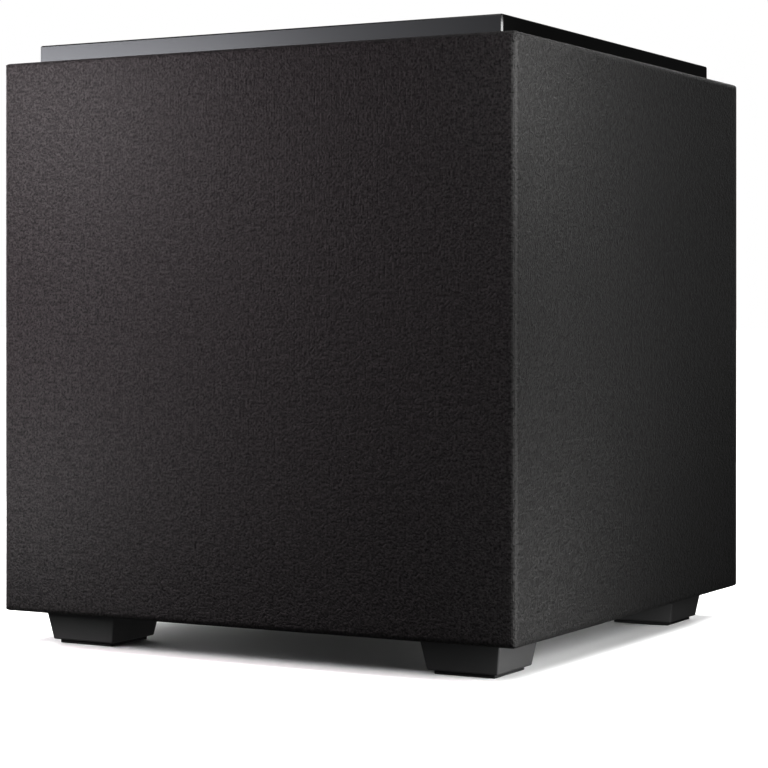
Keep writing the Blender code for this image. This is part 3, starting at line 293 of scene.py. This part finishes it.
def board_finish():
    """Solder mask over copper tracks."""
    made = Finish("solder_mask", (0.012, 0.09, 0.03), 0.4)
    brick = made.node("ShaderNodeTexBrick", {"Vector": made.stretched(1, 0, 1), "Scale": 90.0})
    tracks = brick.outputs["Fac"]
    made.tint(tracks, (0.008, 0.060, 0.020), (0.020, 0.130, 0.045))
    made.gloss(made.noise(300.0), 0.25, 0.5)
    made.relief(tracks, 0.05 * MM)
    return made.material


def lens_finish():
    """A tinted lens, unlit, with moulding clouds inside."""
    made = Finish("tinted_lens", (0.02, 0.22, 0.05), 0.15, Transmission_Weight=0.5)
    made.tint(made.noise(800.0), (0.01, 0.14, 0.03), (0.03, 0.28, 0.07))
    made.gloss(made.noise(1500.0), 0.08, 0.22)
    return made.material


def make_finishes():
    """The look of every material slot in the record, and of the small printed and coloured pieces."""
    gold, pale_gold = (0.72, 0.48, 0.15), (0.86, 0.63, 0.26)
    red, bright_red = (0.30, 0.010, 0.008), (0.38, 0.015, 0.012)
    # Slot: name, dark and light colour, roughness, grain, relief in mm, metallic, clouding.
    rows = {
        "painted_board": ("sprayed_board", grey(0.010), grey(0.018), (0.50, 0.72), 700, 0.05),
        "satin_plastic": ("moulded_plastic", grey(0.016), grey(0.024), (0.34, 0.50), 1800, 0.03),
        "rubber": ("soft_rubber", grey(0.007), grey(0.014), (0.65, 0.85), 1500, 0.04),
        "cast_frame": ("powder_coat", grey(0.015), grey(0.024), (0.45, 0.62), 900, 0.08, 0.3),
        "zinc_steel": ("zinc", grey(0.34), grey(0.48), (0.25, 0.45), 500, 0.02, 1.0, 60),
        "ferrite": ("ground_ferrite", grey(0.035), grey(0.060), (0.45, 0.70), 1200, 0.05),
        "black_aluminium": ("anodised", grey(0.012), grey(0.018), (0.36, 0.50), 2400, 0.02, 0.4),
        "gold_plate": ("gold", gold, pale_gold, (0.18, 0.32), 700, 0.01, 1.0, 200),
        "foot_plastic": ("textured_plastic", grey(0.060), grey(0.078), (0.32, 0.45), 1400, 0.03),
        "print": ("white_ink", grey(0.55), grey(0.68), (0.45, 0.60), 2000, 0.01),
        "red_ring": ("red_plastic", red, bright_red, (0.30, 0.45), 1800, 0.02),
        "white_ring": ("white_plastic", grey(0.60), grey(0.70), (0.30, 0.45), 1800, 0.02),
        "lead": ("lead_sheath", grey(0.010), grey(0.017), (0.40, 0.60), 1200, 0.03),
        "button_steel": ("blackened_steel", grey(0.030), grey(0.050), (0.28, 0.42), 900, 0.01, 0.9),
    }
    finishes = {
        "black_cloth": cloth_finish(),
        "gloss_lacquer": lacquer_finish(),
        "cone_paper": paper_finish(),
        "spider_cloth": spider_finish(),
        "copper_winding": copper_finish(),
        "circuit_board": board_finish(),
        "status_lens": lens_finish(),
    }
    for slot, (name, dark, light, roughness, grain, depth, *rest) in rows.items():
        finishes[slot] = grained(name, dark, light, roughness, grain, depth * MM, *rest)
    return finishes


# Mesh helpers.


def show(name, bm, finish, body, replaces=(), angle=35):
    """Turn a bmesh into a piece that rides on a body."""
    made = shown_mesh(name, bm, finish, replaces, angle)
    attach(made, body)
    return made


def shown_mesh(name, bm, finish, replaces=(), angle=35):
    """Turn a bmesh into a piece that doesn't ride on anything yet."""
    bmesh.ops.recalc_face_normals(bm, faces=bm.faces)
    mesh = bpy.data.meshes.new(name)
    bm.to_mesh(mesh)
    bm.free()
    mesh.shade_smooth()
    mesh.set_sharp_from_angle(angle=math.radians(angle))
    mesh.materials.append(finish)
    made = bpy.data.objects.new(name, mesh)
    bpy.context.collection.objects.link(made)
    if replaces:
        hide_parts(*replaces)
    return made


def round_edges(made, width, segments=4):
    """Round a piece's edges and keep its flat faces flat in shading."""
    bevel = made.modifiers.new("rounding", "BEVEL")
    bevel.width = width
    bevel.segments = segments
    bevel.limit_method = "ANGLE"
    bevel.harden_normals = True


def box_mesh(low, high):
    """A box between two corners."""
    bm = bmesh.new()
    low, high = Vector(low), Vector(high)
    matrix = Matrix.Translation((low + high) / 2) @ Matrix.Diagonal((*(high - low), 1))
    bmesh.ops.create_cube(bm, size=1, matrix=matrix)
    return bm


def put(bm, place):
    """Move a bmesh to a place."""
    bmesh.ops.transform(bm, matrix=place, verts=bm.verts)


def join(bm, other, place=None):
    """Move another bmesh's faces into this one, at a place."""
    if place:
        put(other, place)
    mesh = bpy.data.meshes.new("joined")
    other.to_mesh(mesh)
    other.free()
    bm.from_mesh(mesh)
    bpy.data.meshes.remove(mesh)


def lathe(outline, segments, closed=True, shape=None):
    """Turn an outline of (radius, height) points about +Z. A shape scales the radius by angle."""
    bm = bmesh.new()
    rings = []
    for radius, height in outline:
        if radius == 0:
            rings.append([bm.verts.new((0, 0, height))] * segments)
            continue
        ring = []
        for step in range(segments):
            angle = math.tau * step / segments
            reach = radius * shape(angle, radius) if shape else radius
            ring.append(bm.verts.new((reach * math.cos(angle), reach * math.sin(angle), height)))
        rings.append(ring)
    pairs = list(zip(rings, rings[1:]))
    if closed:
        pairs.append((rings[-1], rings[0]))
    for ring, following in pairs:
        for step in range(segments):
            after = (step + 1) % segments
            corners = [ring[step], ring[after], following[after], following[step]]
            corners = list(dict.fromkeys(corners))
            if len(corners) > 2:
                bm.faces.new(corners)
    return bm


def middle_of(node):
    """The middle of a node's box in the frame."""
    low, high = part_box(node)
    return (low + high) / 2


def facing(point, out):
    """A place whose +Z points out of the cabinet and whose +Y points up."""
    out = Vector(out)
    across = Vector((0, 0, 1)).cross(out).normalized()
    turn = Matrix((across, out.cross(across), out)).transposed()
    return Matrix.Translation(point) @ turn.to_4x4()


def spaced(low, high, step, extra=()):
    """Numbers from low to high at about a step, with some extra ones added."""
    count = max(1, round((high - low) / step))
    values = [low + (high - low) * index / count for index in range(count + 1)]
    values = [value for value in values if all(abs(value - other) > step / 4 for other in extra)]
    return sorted(values + list(extra))


# The cloth.


def quarter_turn(x, y, radius, start):
    """Points round a quarter turn that starts at an angle in degrees."""
    points = []
    for index in range(EDGE_STEPS + 1):
        angle = math.radians(start + 90 * index / EDGE_STEPS)
        points.append((x + radius * math.cos(angle), y + radius * math.sin(angle)))
    return points


def with_lengths(points):
    """Add to each point how far along the line it is."""
    used, result = 0.0, []
    for index, point in enumerate(points):
        if index:
            used += math.dist(point, points[index - 1])
        result.append((*point, used))
    return result


def cloth_profile():
    """The cloth from its base fold to its top fold: (inset, height, cloth used so far)."""
    r = EDGE_RADIUS
    points = [(inset, 0.0) for inset in reversed(spaced(r, FOLD_BASE, FOLD_GRID)[1:])]
    for index in range(EDGE_STEPS + 1):
        angle = math.pi / 2 * index / EDGE_STEPS
        points.append((r * (1 - math.sin(angle)), r * (1 - math.cos(angle))))
    points += [(0.0, height) for height in spaced(r, HEIGHT - r, GRID)[1:-1]]
    for index in range(EDGE_STEPS + 1):
        angle = math.pi / 2 * index / EDGE_STEPS
        points.append((r * (1 - math.cos(angle)), HEIGHT - r * (1 - math.sin(angle))))
    points += [(inset, HEIGHT) for inset in spaced(r, FOLD_TOP, FOLD_GRID)[1:]]
    return with_lengths(points)


def cloth_ring():
    """One turn round the cabinet, from the middle of its back: (x, y, cloth used so far)."""
    r = EDGE_RADIUS
    near = [offset * MM for offset in (0.8, 2.0, 4.0)]
    x_reach, front, back = HALF_W - r, FRONT_Y + r, BACK_Y - r
    x_near = [sign * (x_reach - offset) for offset in near for sign in (-1, 1)]
    y_near = [front + offset for offset in near] + [back - offset for offset in near]
    across = spaced(-x_reach, x_reach, GRID, x_near)
    along = spaced(front, back, GRID, y_near)
    fold = HALF_W - FOLD_REAR
    rear = spaced(-x_reach, x_reach, GRID, [-fold, fold, *x_near])
    points = [(x, BACK_Y) for x in reversed(rear) if x <= 0][:-1]
    points += quarter_turn(-x_reach, back, r, 90)
    points += [(-HALF_W, y) for y in reversed(along[1:-1])]
    points += quarter_turn(-x_reach, front, r, 180)
    points += [(x, FRONT_Y) for x in across[1:-1]]
    points += quarter_turn(x_reach, front, r, 270)
    points += [(HALF_W, y) for y in along[1:-1]]
    points += quarter_turn(x_reach, back, r, 0)
    points += [(x, BACK_Y) for x in reversed(rear) if x > 0][1:]
    return with_lengths(points)


def inset_point(x, y, inset):
    """A point of the ring, moved in square to the cabinet's faces."""
    reach_x, reach_y = HALF_W - inset, (BACK_Y - FRONT_Y) / 2 - inset
    middle = (FRONT_Y + BACK_Y) / 2
    return max(-reach_x, min(reach_x, x)), middle + max(-reach_y, min(reach_y, y - middle))


def mitre(x, y, inset):
    """How far the cloth stands up beside its mitred corners: a groove with a lapped edge beside it."""
    if inset <= EDGE_RADIUS:
        return 0.0
    groove_depth, groove_width = 0.35 * MM, 0.6 * MM
    lap_rise, lap_width = 0.25 * MM, 1.6 * MM
    fade_length = 3 * MM
    gap = HALF_W - abs(x) - min(y - FRONT_Y, BACK_Y - y)
    fade = min(1.0, (inset - EDGE_RADIUS) / fade_length)
    groove = -groove_depth * math.exp(-((gap / groove_width) ** 2))
    ridge = lap_rise * math.exp(-(((gap - lap_width) / lap_width) ** 2))
    return fade * (groove + ridge)


def edge_highlight_share(x, y):
    """How much of the painted highlight a point of a rounded upright edge gets: 1 on its crown, where the
    cloth is pulled tight, and 0 off it.
    """
    reach_y = BACK_Y if y > 0 else -FRONT_Y
    past_x, past_y = abs(x) - (HALF_W - EDGE_RADIUS), abs(y) - (reach_y - EDGE_RADIUS)
    if min(past_x, past_y) <= 0:
        return 0.0
    narrowness = 5
    return math.sin(2 * math.atan2(past_y, past_x)) ** narrowness


def add_cloth_rows(bm, profile, ring):
    """The cloth's vertices, row by row, each with its place on the flat cloth and its share of the painted
    edge highlight.
    """
    place = bm.verts.layers.float_vector.new("cloth_place")
    highlight_layer = bm.verts.layers.float.new("painted_edge_highlight")
    rows = []
    for inset, height, up in profile:
        row = []
        for x, y, across in ring:
            at_x, at_y = inset_point(x, y, inset)
            lift = mitre(at_x, at_y, inset) if height == HEIGHT else 0.0
            vert = bm.verts.new((at_x, at_y, BASE_Z + height + lift))
            vert[place] = (across, up, 0)
            vert[highlight_layer] = edge_highlight_share(x, y) if EDGE_RADIUS < height < HEIGHT - EDGE_RADIUS else 0.0
            row.append(vert)
        rows.append(row)
    return rows


def add_cloth_faces(bm, rows, fold):
    """The faces between the rows, without those in the window that is cut out of the back."""
    slack = 0.1 * MM
    for low, high in zip(rows, rows[1:]):
        for index in range(len(low)):
            after = (index + 1) % len(low)
            corners = [low[index], low[after], high[after], high[index]]
            middle = sum((vert.co for vert in corners), Vector()) / 4
            in_window = abs(middle.x) < fold and BASE_Z + FOLD_REAR < middle.z < TOP_Z - FOLD_REAR
            if not (in_window and middle.y > BACK_Y - slack):
                bm.faces.new(corners)


def build_cloth(finish):
    """One band of cloth, stretched round the cabinet and folded over its top, base and back edges."""
    profile, ring = cloth_profile(), cloth_ring()
    fold, weld = HALF_W - FOLD_REAR, 0.02 * MM
    bm = bmesh.new()
    add_cloth_faces(bm, add_cloth_rows(bm, profile, ring), fold)
    bmesh.ops.remove_doubles(bm, verts=bm.verts, dist=weld)
    loose = [vert for vert in bm.verts if not vert.link_faces]
    bmesh.ops.delete(bm, geom=loose, context="VERTS")
    made = show("cloth_skin", bm, finish, "cabinet", ["fabric_sleeve"], angle=60)
    thick = made.modifiers.new("thickness", "SOLIDIFY")
    thick.thickness = CLOTH_THICK
    thick.offset = -1


# The cap and the feet.


def build_cap(finish):
    """The gloss slab on top, with narrow flat chamfers that catch the light."""
    made = show("gloss_slab", box_mesh(*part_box("top_cap")), finish, "cabinet", ["top_cap"])
    made.data.shade_flat()
    chamfer = 0.9 * MM
    bevel = made.modifiers.new("chamfer", "BEVEL")
    bevel.width = chamfer
    bevel.segments = 1
    bevel.limit_method = "ANGLE"
    return made


def build_feet(plastic, rubber):
    """Tapered feet, each with a rubber pad let into its underside."""
    taper, foot_rounding, pad_rounding = 0.875, 1.1 * MM, 0.5 * MM
    for corner in ("front_left", "front_right", "rear_left", "rear_right"):
        low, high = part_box(f"{corner}_foot")
        bm = box_mesh(low, high)
        middle = (low + high) / 2
        for vert in bm.verts:
            if vert.co.z < middle.z:
                vert.co.x = middle.x + (vert.co.x - middle.x) * taper
                vert.co.y = middle.y + (vert.co.y - middle.y) * taper
        foot = show(f"{corner}_foot_block", bm, plastic, "cabinet", [f"{corner}_foot"])
        round_edges(foot, foot_rounding)
        node = f"{corner}_foot_pad"
        pad = show(f"{corner}_rubber_pad", box_mesh(*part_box(node)), rubber, "cabinet", [node])
        round_edges(pad, pad_rounding, segments=3)


# The loudspeaker units.


def unit_place(name, out):
    """The middle of a unit, level with the outer face of the wall that it is let into."""
    low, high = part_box(f"{name}_surround")
    middle = (low + high) / 2
    lip_base = min(low.dot(out), high.dot(out))
    level = lip_base + LIP - LIP_TOP
    return facing(middle + out * (level - middle.dot(out)), out)


def follow_by_radius(made):
    """Bake a ring's place into its mesh; the ring rides on no body."""
    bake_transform(made)


def surround_outline():
    """A half roll between two flat lips."""
    steps = 16
    middle, half = (ROLL_INNER + ROLL_OUTER) / 2, (ROLL_OUTER - ROLL_INNER) / 2
    base = LIP_TOP - LIP
    over, under = [], []
    for step in range(steps + 1):
        angle = math.pi * step / steps
        across, up = -math.cos(angle), math.sin(angle)
        over.append((middle + half * across, LIP_TOP + ROLL_HEIGHT * up))
        under.append((middle + (half - RUBBER) * across, base + (ROLL_HEIGHT + LIP - RUBBER) * up))
    inner_lip = [(LIP_INNER, base), (LIP_INNER, LIP_TOP)]
    outer_lip = [(LIP_OUTER, LIP_TOP), (LIP_OUTER, base)]
    return inner_lip + over + outer_lip + under[::-1]


def spider_outline(rest):
    """A corrugated disc: seven ridges between a flat collar and a flat rim."""
    thick, ripple, ridges, steps = 0.6 * MM, 1.1 * MM, 7, 8
    top = [(SPIDER_INNER, rest)]
    count = ridges * steps
    for step in range(count + 1):
        share = step / count
        fade = min(1.0, 4 * share, 4 * (1 - share))
        height = rest + ripple * fade * math.sin(math.tau * ridges * share)
        top.append((SPIDER_FIRST + (SPIDER_LAST - SPIDER_FIRST) * share, height))
    top.append((SPIDER_OUTER, rest))
    return top + [(radius, height - thick) for radius, height in reversed(top)]


def build_units(rubber, spider, steel):
    """The soft rings of the driver and radiators, and the screws in their frames."""
    for name, body, out in UNITS:
        place = unit_place(name, out)
        ring = lathe(surround_outline(), segments=96)
        put(ring, place)
        made = shown_mesh(f"{name}_roll", ring, rubber, [f"{name}_surround"])
        follow_by_radius(made)

        level = (middle_of(f"{name}_spider") - place.translation).dot(out)
        disc = lathe(spider_outline(level), segments=72)
        put(disc, place)
        made = shown_mesh(f"{name}_damper", disc, spider, [f"{name}_spider"], angle=60)
        follow_by_radius(made)
        build_unit_screws(name, place, steel)


def build_unit_screws(name, place, steel):
    """The screws round a unit's frame, on its flange a little below the wall's outer face."""
    count, circle, flange_depth = 8, 151 * MM, 1.5 * MM
    screws = bmesh.new()
    for index in range(count):
        angle = math.tau * (index + 0.5) / count
        spot = Vector((circle * math.cos(angle), circle * math.sin(angle), -flange_depth))
        join(screws, screw_mesh(*UNIT_SCREW), place @ Matrix.Translation(spot))
    show(f"{name}_screws", screws, steel, "cabinet")


def screw_mesh(radius, height):
    """A button-head screw with a hexagon socket, on the plane z = 0."""
    socket, floor = 0.45 * radius, 0.3 * height
    dome = ((1, 0), (1, 0.25), (0.9, 0.6), (0.75, 0.87), (0.6, 1))

    def shape(angle, at_radius):
        """Six flats on the socket, and round elsewhere."""
        if at_radius > socket:
            return 1.0
        return math.cos(math.pi / 6) / math.cos(angle % (math.pi / 3) - math.pi / 6)

    outline = [(out * radius, up * height) for out, up in dome]
    outline += [(socket, height), (socket, floor), (0, floor)]
    return lathe(outline, segments=24, closed=False, shape=shape)


# The back.


def build_knob(name, plastic, ink):
    """A fluted knob with a dished face and a raised white pointer on it."""
    low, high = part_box(name)
    centre = (low + high) / 2
    radius, height = (high.x - low.x) / 2, high.y - PLATE_FACE_Y
    place = facing((centre.x, PLATE_FACE_Y, centre.z), OUT_BACK)
    foot, skirt, draft = 0.6 * MM, 1.2 * MM, 0.7 * MM
    edge, rim, dish = 0.8 * MM, 1.4 * MM, 0.35 * MM
    flutes, flute_depth, fluted_reach = 30, 0.035, 0.999
    face_r = radius - draft
    flat_r = face_r - edge

    def shape(angle, at_radius):
        """Flutes on the grip, and round on the skirt and the face."""
        if at_radius < flat_r or at_radius == radius:
            return 1.0
        return 1 - flute_depth * (0.5 - 0.5 * math.cos(flutes * angle)) ** 2

    skirt_top, grip_top = foot + skirt, height - edge
    outline = [(0, foot), (radius, foot), (radius, skirt_top)]
    outline.append((fluted_reach * radius, skirt_top + 0.2 * MM))
    for share in (0.5, 1):
        reach = fluted_reach * (radius - draft * share)
        outline.append((reach, skirt_top + share * (grip_top - skirt_top)))
    outline += [(face_r - 0.3 * edge, height - 0.3 * edge), (flat_r - 0.01 * MM, height)]
    outline += [(flat_r - rim, height), (flat_r - rim - 0.3 * MM, height - dish), (0, height - dish)]
    bm = lathe(outline, segments=240, closed=False, shape=shape)
    put(bm, place)
    show(f"{name}_grip", bm, plastic, name, [name])

    half, start, gap, proud = 0.5 * MM, 2.6 * MM, 0.3 * MM, 0.12 * MM
    pointer = box_mesh((-half, start, height - 2 * dish), (half, flat_r - gap, height + proud))
    put(pointer, place)
    made = show(f"{name}_pointer", pointer, ink, name)
    round_edges(made, 0.15 * MM, segments=2)


def build_marks(ink):
    """Printed ticks round the knobs and dots beside the levers: a thin layer of ink on the plate."""
    marks = bmesh.new()
    ink_low, ink_high = -0.02 * MM, 0.05 * MM
    ticks, sweep, inner, half = 11, math.radians(300), 12 * MM, 0.25 * MM
    for name in ("level_knob", "crossover_knob"):
        middle = middle_of(name)
        place = facing((middle.x, PLATE_FACE_Y, middle.z), OUT_BACK)
        for index in range(ticks):
            angle = sweep * (index / (ticks - 1) - 0.5)
            length = 2.4 * MM if index % 5 == 0 else 1.6 * MM
            tick = box_mesh((-half, inner, ink_low), (half, inner + length, ink_high))
            join(marks, tick, place @ Matrix.Rotation(angle, 4, "Z"))
    dot_r, half_travel, beside = 0.7 * MM, 2 * MM, 7 * MM
    dot_outline = [(0, ink_low), (dot_r, ink_low), (dot_r, ink_high), (0, ink_high)]
    for name in ("phase_lever", "mode_lever"):
        middle = middle_of(name)
        for side in (-1, 1):
            point = (middle.x + half_travel + side * beside, PLATE_FACE_Y, middle.z)
            dot = lathe(dot_outline, segments=20, closed=False)
            join(marks, dot, facing(point, OUT_BACK))
    show("control_marks", marks, ink, "cabinet")


def build_rocker_marks(ink):
    """A bar and a ring on the two halves of the power rocker."""
    rocker = frame["nodes"]["power_rocker"]
    low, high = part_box("power_rocker")
    middle, reach = (low + high) / 2, (high.z - low.z) / 4
    sunk, proud, clear = -0.05 * MM, 0.06 * MM, 20 * MM
    bar_half, bar_reach = 0.3 * MM, 1.4 * MM
    inner, outer = 1.0 * MM, 1.5 * MM
    bar = box_mesh((-bar_half, -bar_reach, sunk), (bar_half, bar_reach, proud))
    ring = lathe([(inner, sunk), (outer, sunk), (outer, proud), (inner, proud)], segments=32)
    marks = bmesh.new()
    for mark, side in ((bar, 1), (ring, -1)):
        start = (middle.x, high.y + clear, middle.z + side * reach)
        _, point, normal, _ = rocker.ray_cast(start, -OUT_BACK)
        join(marks, mark, facing(point, normal))
    show("rocker_marks", marks, ink, "power_rocker")


def build_jack_rings(rings):
    """The coloured insulating ring round each phono jack's barrel."""
    inner, outer = 4.3 * MM, 6.6 * MM
    base, face, edge = 1.8 * MM, 2.9 * MM, 0.3 * MM
    outline = [(inner, base), (outer, base), (outer, face - edge), (outer - edge, face)]
    outline += [(inner + edge, face), (inner, face - edge)]
    for node, finish in rings:
        middle = middle_of(node)
        bm = lathe(outline, segments=48)
        put(bm, facing((middle.x, PLATE_FACE_Y, middle.z), OUT_BACK))
        show(f"{node}_ring", bm, finish, "cabinet")


def build_inlet_pins(steel):
    """Plated sleeves on the inlet's three pins."""
    middle = middle_of("mains_inlet")
    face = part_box("mains_inlet")[1].y
    socket_up, half_x, half_z = 7.5 * MM, 1.05 * MM, 2.05 * MM
    deep, shallow, rounding = 16.9 * MM, 4.6 * MM, 0.4 * MM
    pins = bmesh.new()
    for x, z in ((-7, -2), (7, -2), (0, 2)):
        at_x, at_z = middle.x + x * MM, middle.z + socket_up + z * MM
        pin_low = (at_x - half_x, face - deep, at_z - half_z)
        join(pins, box_mesh(pin_low, (at_x + half_x, face - shallow, at_z + half_z)))
    made = show("inlet_pins", pins, steel, "cabinet")
    round_edges(made, rounding, segments=3)


def build_screws(name, steel, screw, middle, reach, spots):
    """One piece that holds the screws at some spots of a rectangle on the back: (across, up) shares."""
    screws = bmesh.new()
    for across, up in spots:
        point = (middle[0] + across * reach[0], middle[1], middle[2] + up * reach[1])
        join(screws, screw_mesh(*screw), facing(point, OUT_BACK))
    show(name, screws, steel, "cabinet")


def build_back_screws(steel):
    """The screws that hold the amplifier's plate and the trim frame."""
    corners = [(x, z) for x in (-1, 1) for z in (-1, 1)]
    ends = [(0, -1), (0, 1)]
    inset, third = 5 * MM, 0.34
    middle = (0, PLATE_FACE_Y, (PLATE_LOW.z + PLATE_HIGH.z) / 2)
    reach = (PLATE_HIGH.x - inset, (PLATE_HIGH.z - PLATE_LOW.z) / 2 - inset)
    spots = corners + [(x, z) for x in (-1, 1) for z in (-third, third)] + ends
    build_screws("plate_screws", steel, PLATE_SCREW, middle, reach, spots)

    low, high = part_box("rear_trim_frame")
    inset_x, inset_z = 17 * MM, 12 * MM
    middle = (0, high.y, (low.z + high.z) / 2)
    reach = (high.x - inset_x, (high.z - low.z) / 2 - inset_z)
    spots = corners + [(-1, 0), (1, 0)] + ends
    build_screws("trim_screws", steel, TRIM_SCREW, middle, reach, spots)


# The studio.


def build_camera():
    """A level camera at the front right, about half way up the cabinet."""
    data = bpy.data.cameras.new("camera")
    data.lens = CAMERA_LENS
    data.sensor_width = 36
    data.shift_y = CAMERA_SHIFT
    made = bpy.data.objects.new("camera", data)
    made.location = CAMERA_PLACE
    made.rotation_euler = (math.pi / 2, 0, CAMERA_HEADING)
    bpy.context.collection.objects.link(made)
    bpy.context.scene.camera = made


def add_softbox(name, spot, size, power, color=WHITE):
    """A rectangular light that faces the middle of the cabinet, with its power in watts."""
    data = bpy.data.lights.new(name, "AREA")
    data.shape = "RECTANGLE"
    data.size, data.size_y = size
    data.energy = power
    data.color = color
    made = bpy.data.objects.new(name, data)
    made.location = spot
    made.rotation_euler = (MIDDLE - Vector(spot)).to_track_quat("-Z", "Y").to_euler()
    made.visible_camera = False
    bpy.context.collection.objects.link(made)
    return made


def build_lights(slab):
    """A broad key light at the left, gloss for the slab alone, and small fills that spare the slab."""
    add_softbox("left_key", (-1.55, -1.90, 0.60), (1.6, 0.9), 2.8, COOL)
    gloss = [
        add_softbox("slab_front_gloss", (-1.84, -1.70, 0.48), (1.6, 0.35), 36, COOL),
        add_softbox("slab_top_gloss", (-1.90, 1.90, 1.50), (1.6, 0.8), 8, COOL),
        add_softbox("slab_corner_gloss", (0.201, -0.185, 0.400), (0.01, 0.01), 0.009),
    ]
    share([slab], gloss)
    add_softbox("top_fill", (0.0, 0.0, 1.40), (0.8, 0.8), 2)
    fills = [
        add_softbox("corner_glint", (1.05, -0.66, 0.51), (0.2, 0.2), 1.0),
        add_softbox("front_fill_low", (-0.21, -0.30, 0.10), (0.12, 0.12), 0.22),
        add_softbox("front_fill_middle", (-0.30, -0.36, 0.20), (0.12, 0.12), 0.37, ROSY),
        add_softbox("front_fill_high", (-0.18, -0.30, 0.37), (0.12, 0.12), 0.43, WARM),
        add_softbox("front_fill_top", (-0.26, -0.45, 0.52), (0.2, 0.2), 1.15, ROSY),
        add_softbox("side_fill_low", (0.325, -0.157, 0.048), (0.16, 0.16), 0.62),
        add_softbox("side_fill_high", (0.33, -0.19, 0.40), (0.12, 0.12), 0.82),
        add_softbox("side_fill_rear", (0.50, 0.20, 0.40), (0.2, 0.2), 0.12),
        add_softbox("rear_fill", (-0.60, 1.80, 0.50), (1.8, 1.2), 24),
        add_softbox("rear_left_fill", (-1.10, 0.50, 0.45), (0.8, 0.8), 16),
    ]
    share([slab], fills, "EXCLUDE")


def share(pieces, lights, state="INCLUDE"):
    """Make lights fall on some pieces alone, or with state EXCLUDE, on everything but them."""
    group = bpy.data.collections.new(f"{state}_{pieces[0].name}".lower())
    for index, piece in enumerate(pieces):
        group.objects.link(piece)
        group.collection_objects[index].light_linking.link_state = state
    for light in lights:
        light.light_linking.receiver_collection = group


def light_floor(floor):
    """Light for the floor alone: a broad sun from straight above, and softboxes at the right and front."""
    data = bpy.data.lights.new("floor_top", "SUN")
    data.energy = 6
    data.angle = math.radians(25)
    overhead = bpy.data.objects.new("floor_top", data)
    bpy.context.collection.objects.link(overhead)
    softboxes = [
        add_softbox("floor_right", (1.2, 0.2, 1.8), (0.8, 0.8), 50),
        add_softbox("floor_front", (0.0, -1.7, 1.5), (0.8, 0.8), 40),
        add_softbox("floor_low", (1.9, 0.1, 0.75), (0.8, 0.8), 36),
    ]
    share([floor], [overhead, *softboxes])


def build_world():
    """A white surround to look at, which lights the cabinet only a little."""
    light_share = 0.03
    world = bpy.data.worlds.new("studio")
    world.use_nodes = True
    tree = world.node_tree
    sky = tree.nodes["Background"]
    sky.inputs["Color"].default_value = (1, 1, 1, 1)
    seen = tree.nodes.new("ShaderNodeLightPath").outputs["Is Camera Ray"]
    strength = tree.nodes.new("ShaderNodeMapRange")
    strength.inputs["To Min"].default_value = light_share
    tree.links.new(seen, strength.inputs["Value"])
    tree.links.new(strength.outputs[0], sky.inputs["Strength"])
    bpy.context.scene.world = world
    bpy.context.scene.view_settings.view_transform = "Standard"


def build_floor():
    """A pale floor out to the horizon, which throws no light back up at the cabinet."""
    horizon = 40.0
    bm = bmesh.new()
    bmesh.ops.create_grid(bm, x_segments=1, y_segments=1, size=horizon)
    mesh = bpy.data.meshes.new("floor")
    bm.to_mesh(mesh)
    bm.free()
    floor = bpy.data.objects.new("floor", mesh)
    bpy.context.collection.objects.link(floor)
    mesh.materials.append(grained("pale_floor", grey(0.80), grey(0.84), (0.7, 0.8), 40, 0.01 * MM))
    floor.visible_diffuse = False
    floor.visible_glossy = False
    light_floor(floor)


def build_all():
    """Everything in the scene, and a finish on every node of the frame."""
    finishes = make_finishes()
    build_camera()
    build_world()
    build_floor()
    build_cloth(finishes["black_cloth"])
    build_lights(build_cap(finishes["gloss_lacquer"]))
    build_feet(finishes["foot_plastic"], finishes["rubber"])
    build_units(finishes["rubber"], finishes["spider_cloth"], finishes["button_steel"])
    for name in ("level_knob", "crossover_knob"):
        build_knob(name, finishes["satin_plastic"], finishes["print"])
    build_marks(finishes["print"])
    build_rocker_marks(finishes["print"])
    build_jack_rings([("line_in_left", finishes["white_ring"]), ("line_in_right", finishes["red_ring"])])
    build_inlet_pins(finishes["zinc_steel"])
    build_back_screws(finishes["button_steel"])
    slots = {row["node"]: row["material_slot"] for row in frame["record"]["subparts"]}
    slots["driver_lead"] = "lead"
    for name, node in frame["nodes"].items():
        node.data.materials.clear()
        node.data.materials.append(finishes[slots[name]])


build_all()
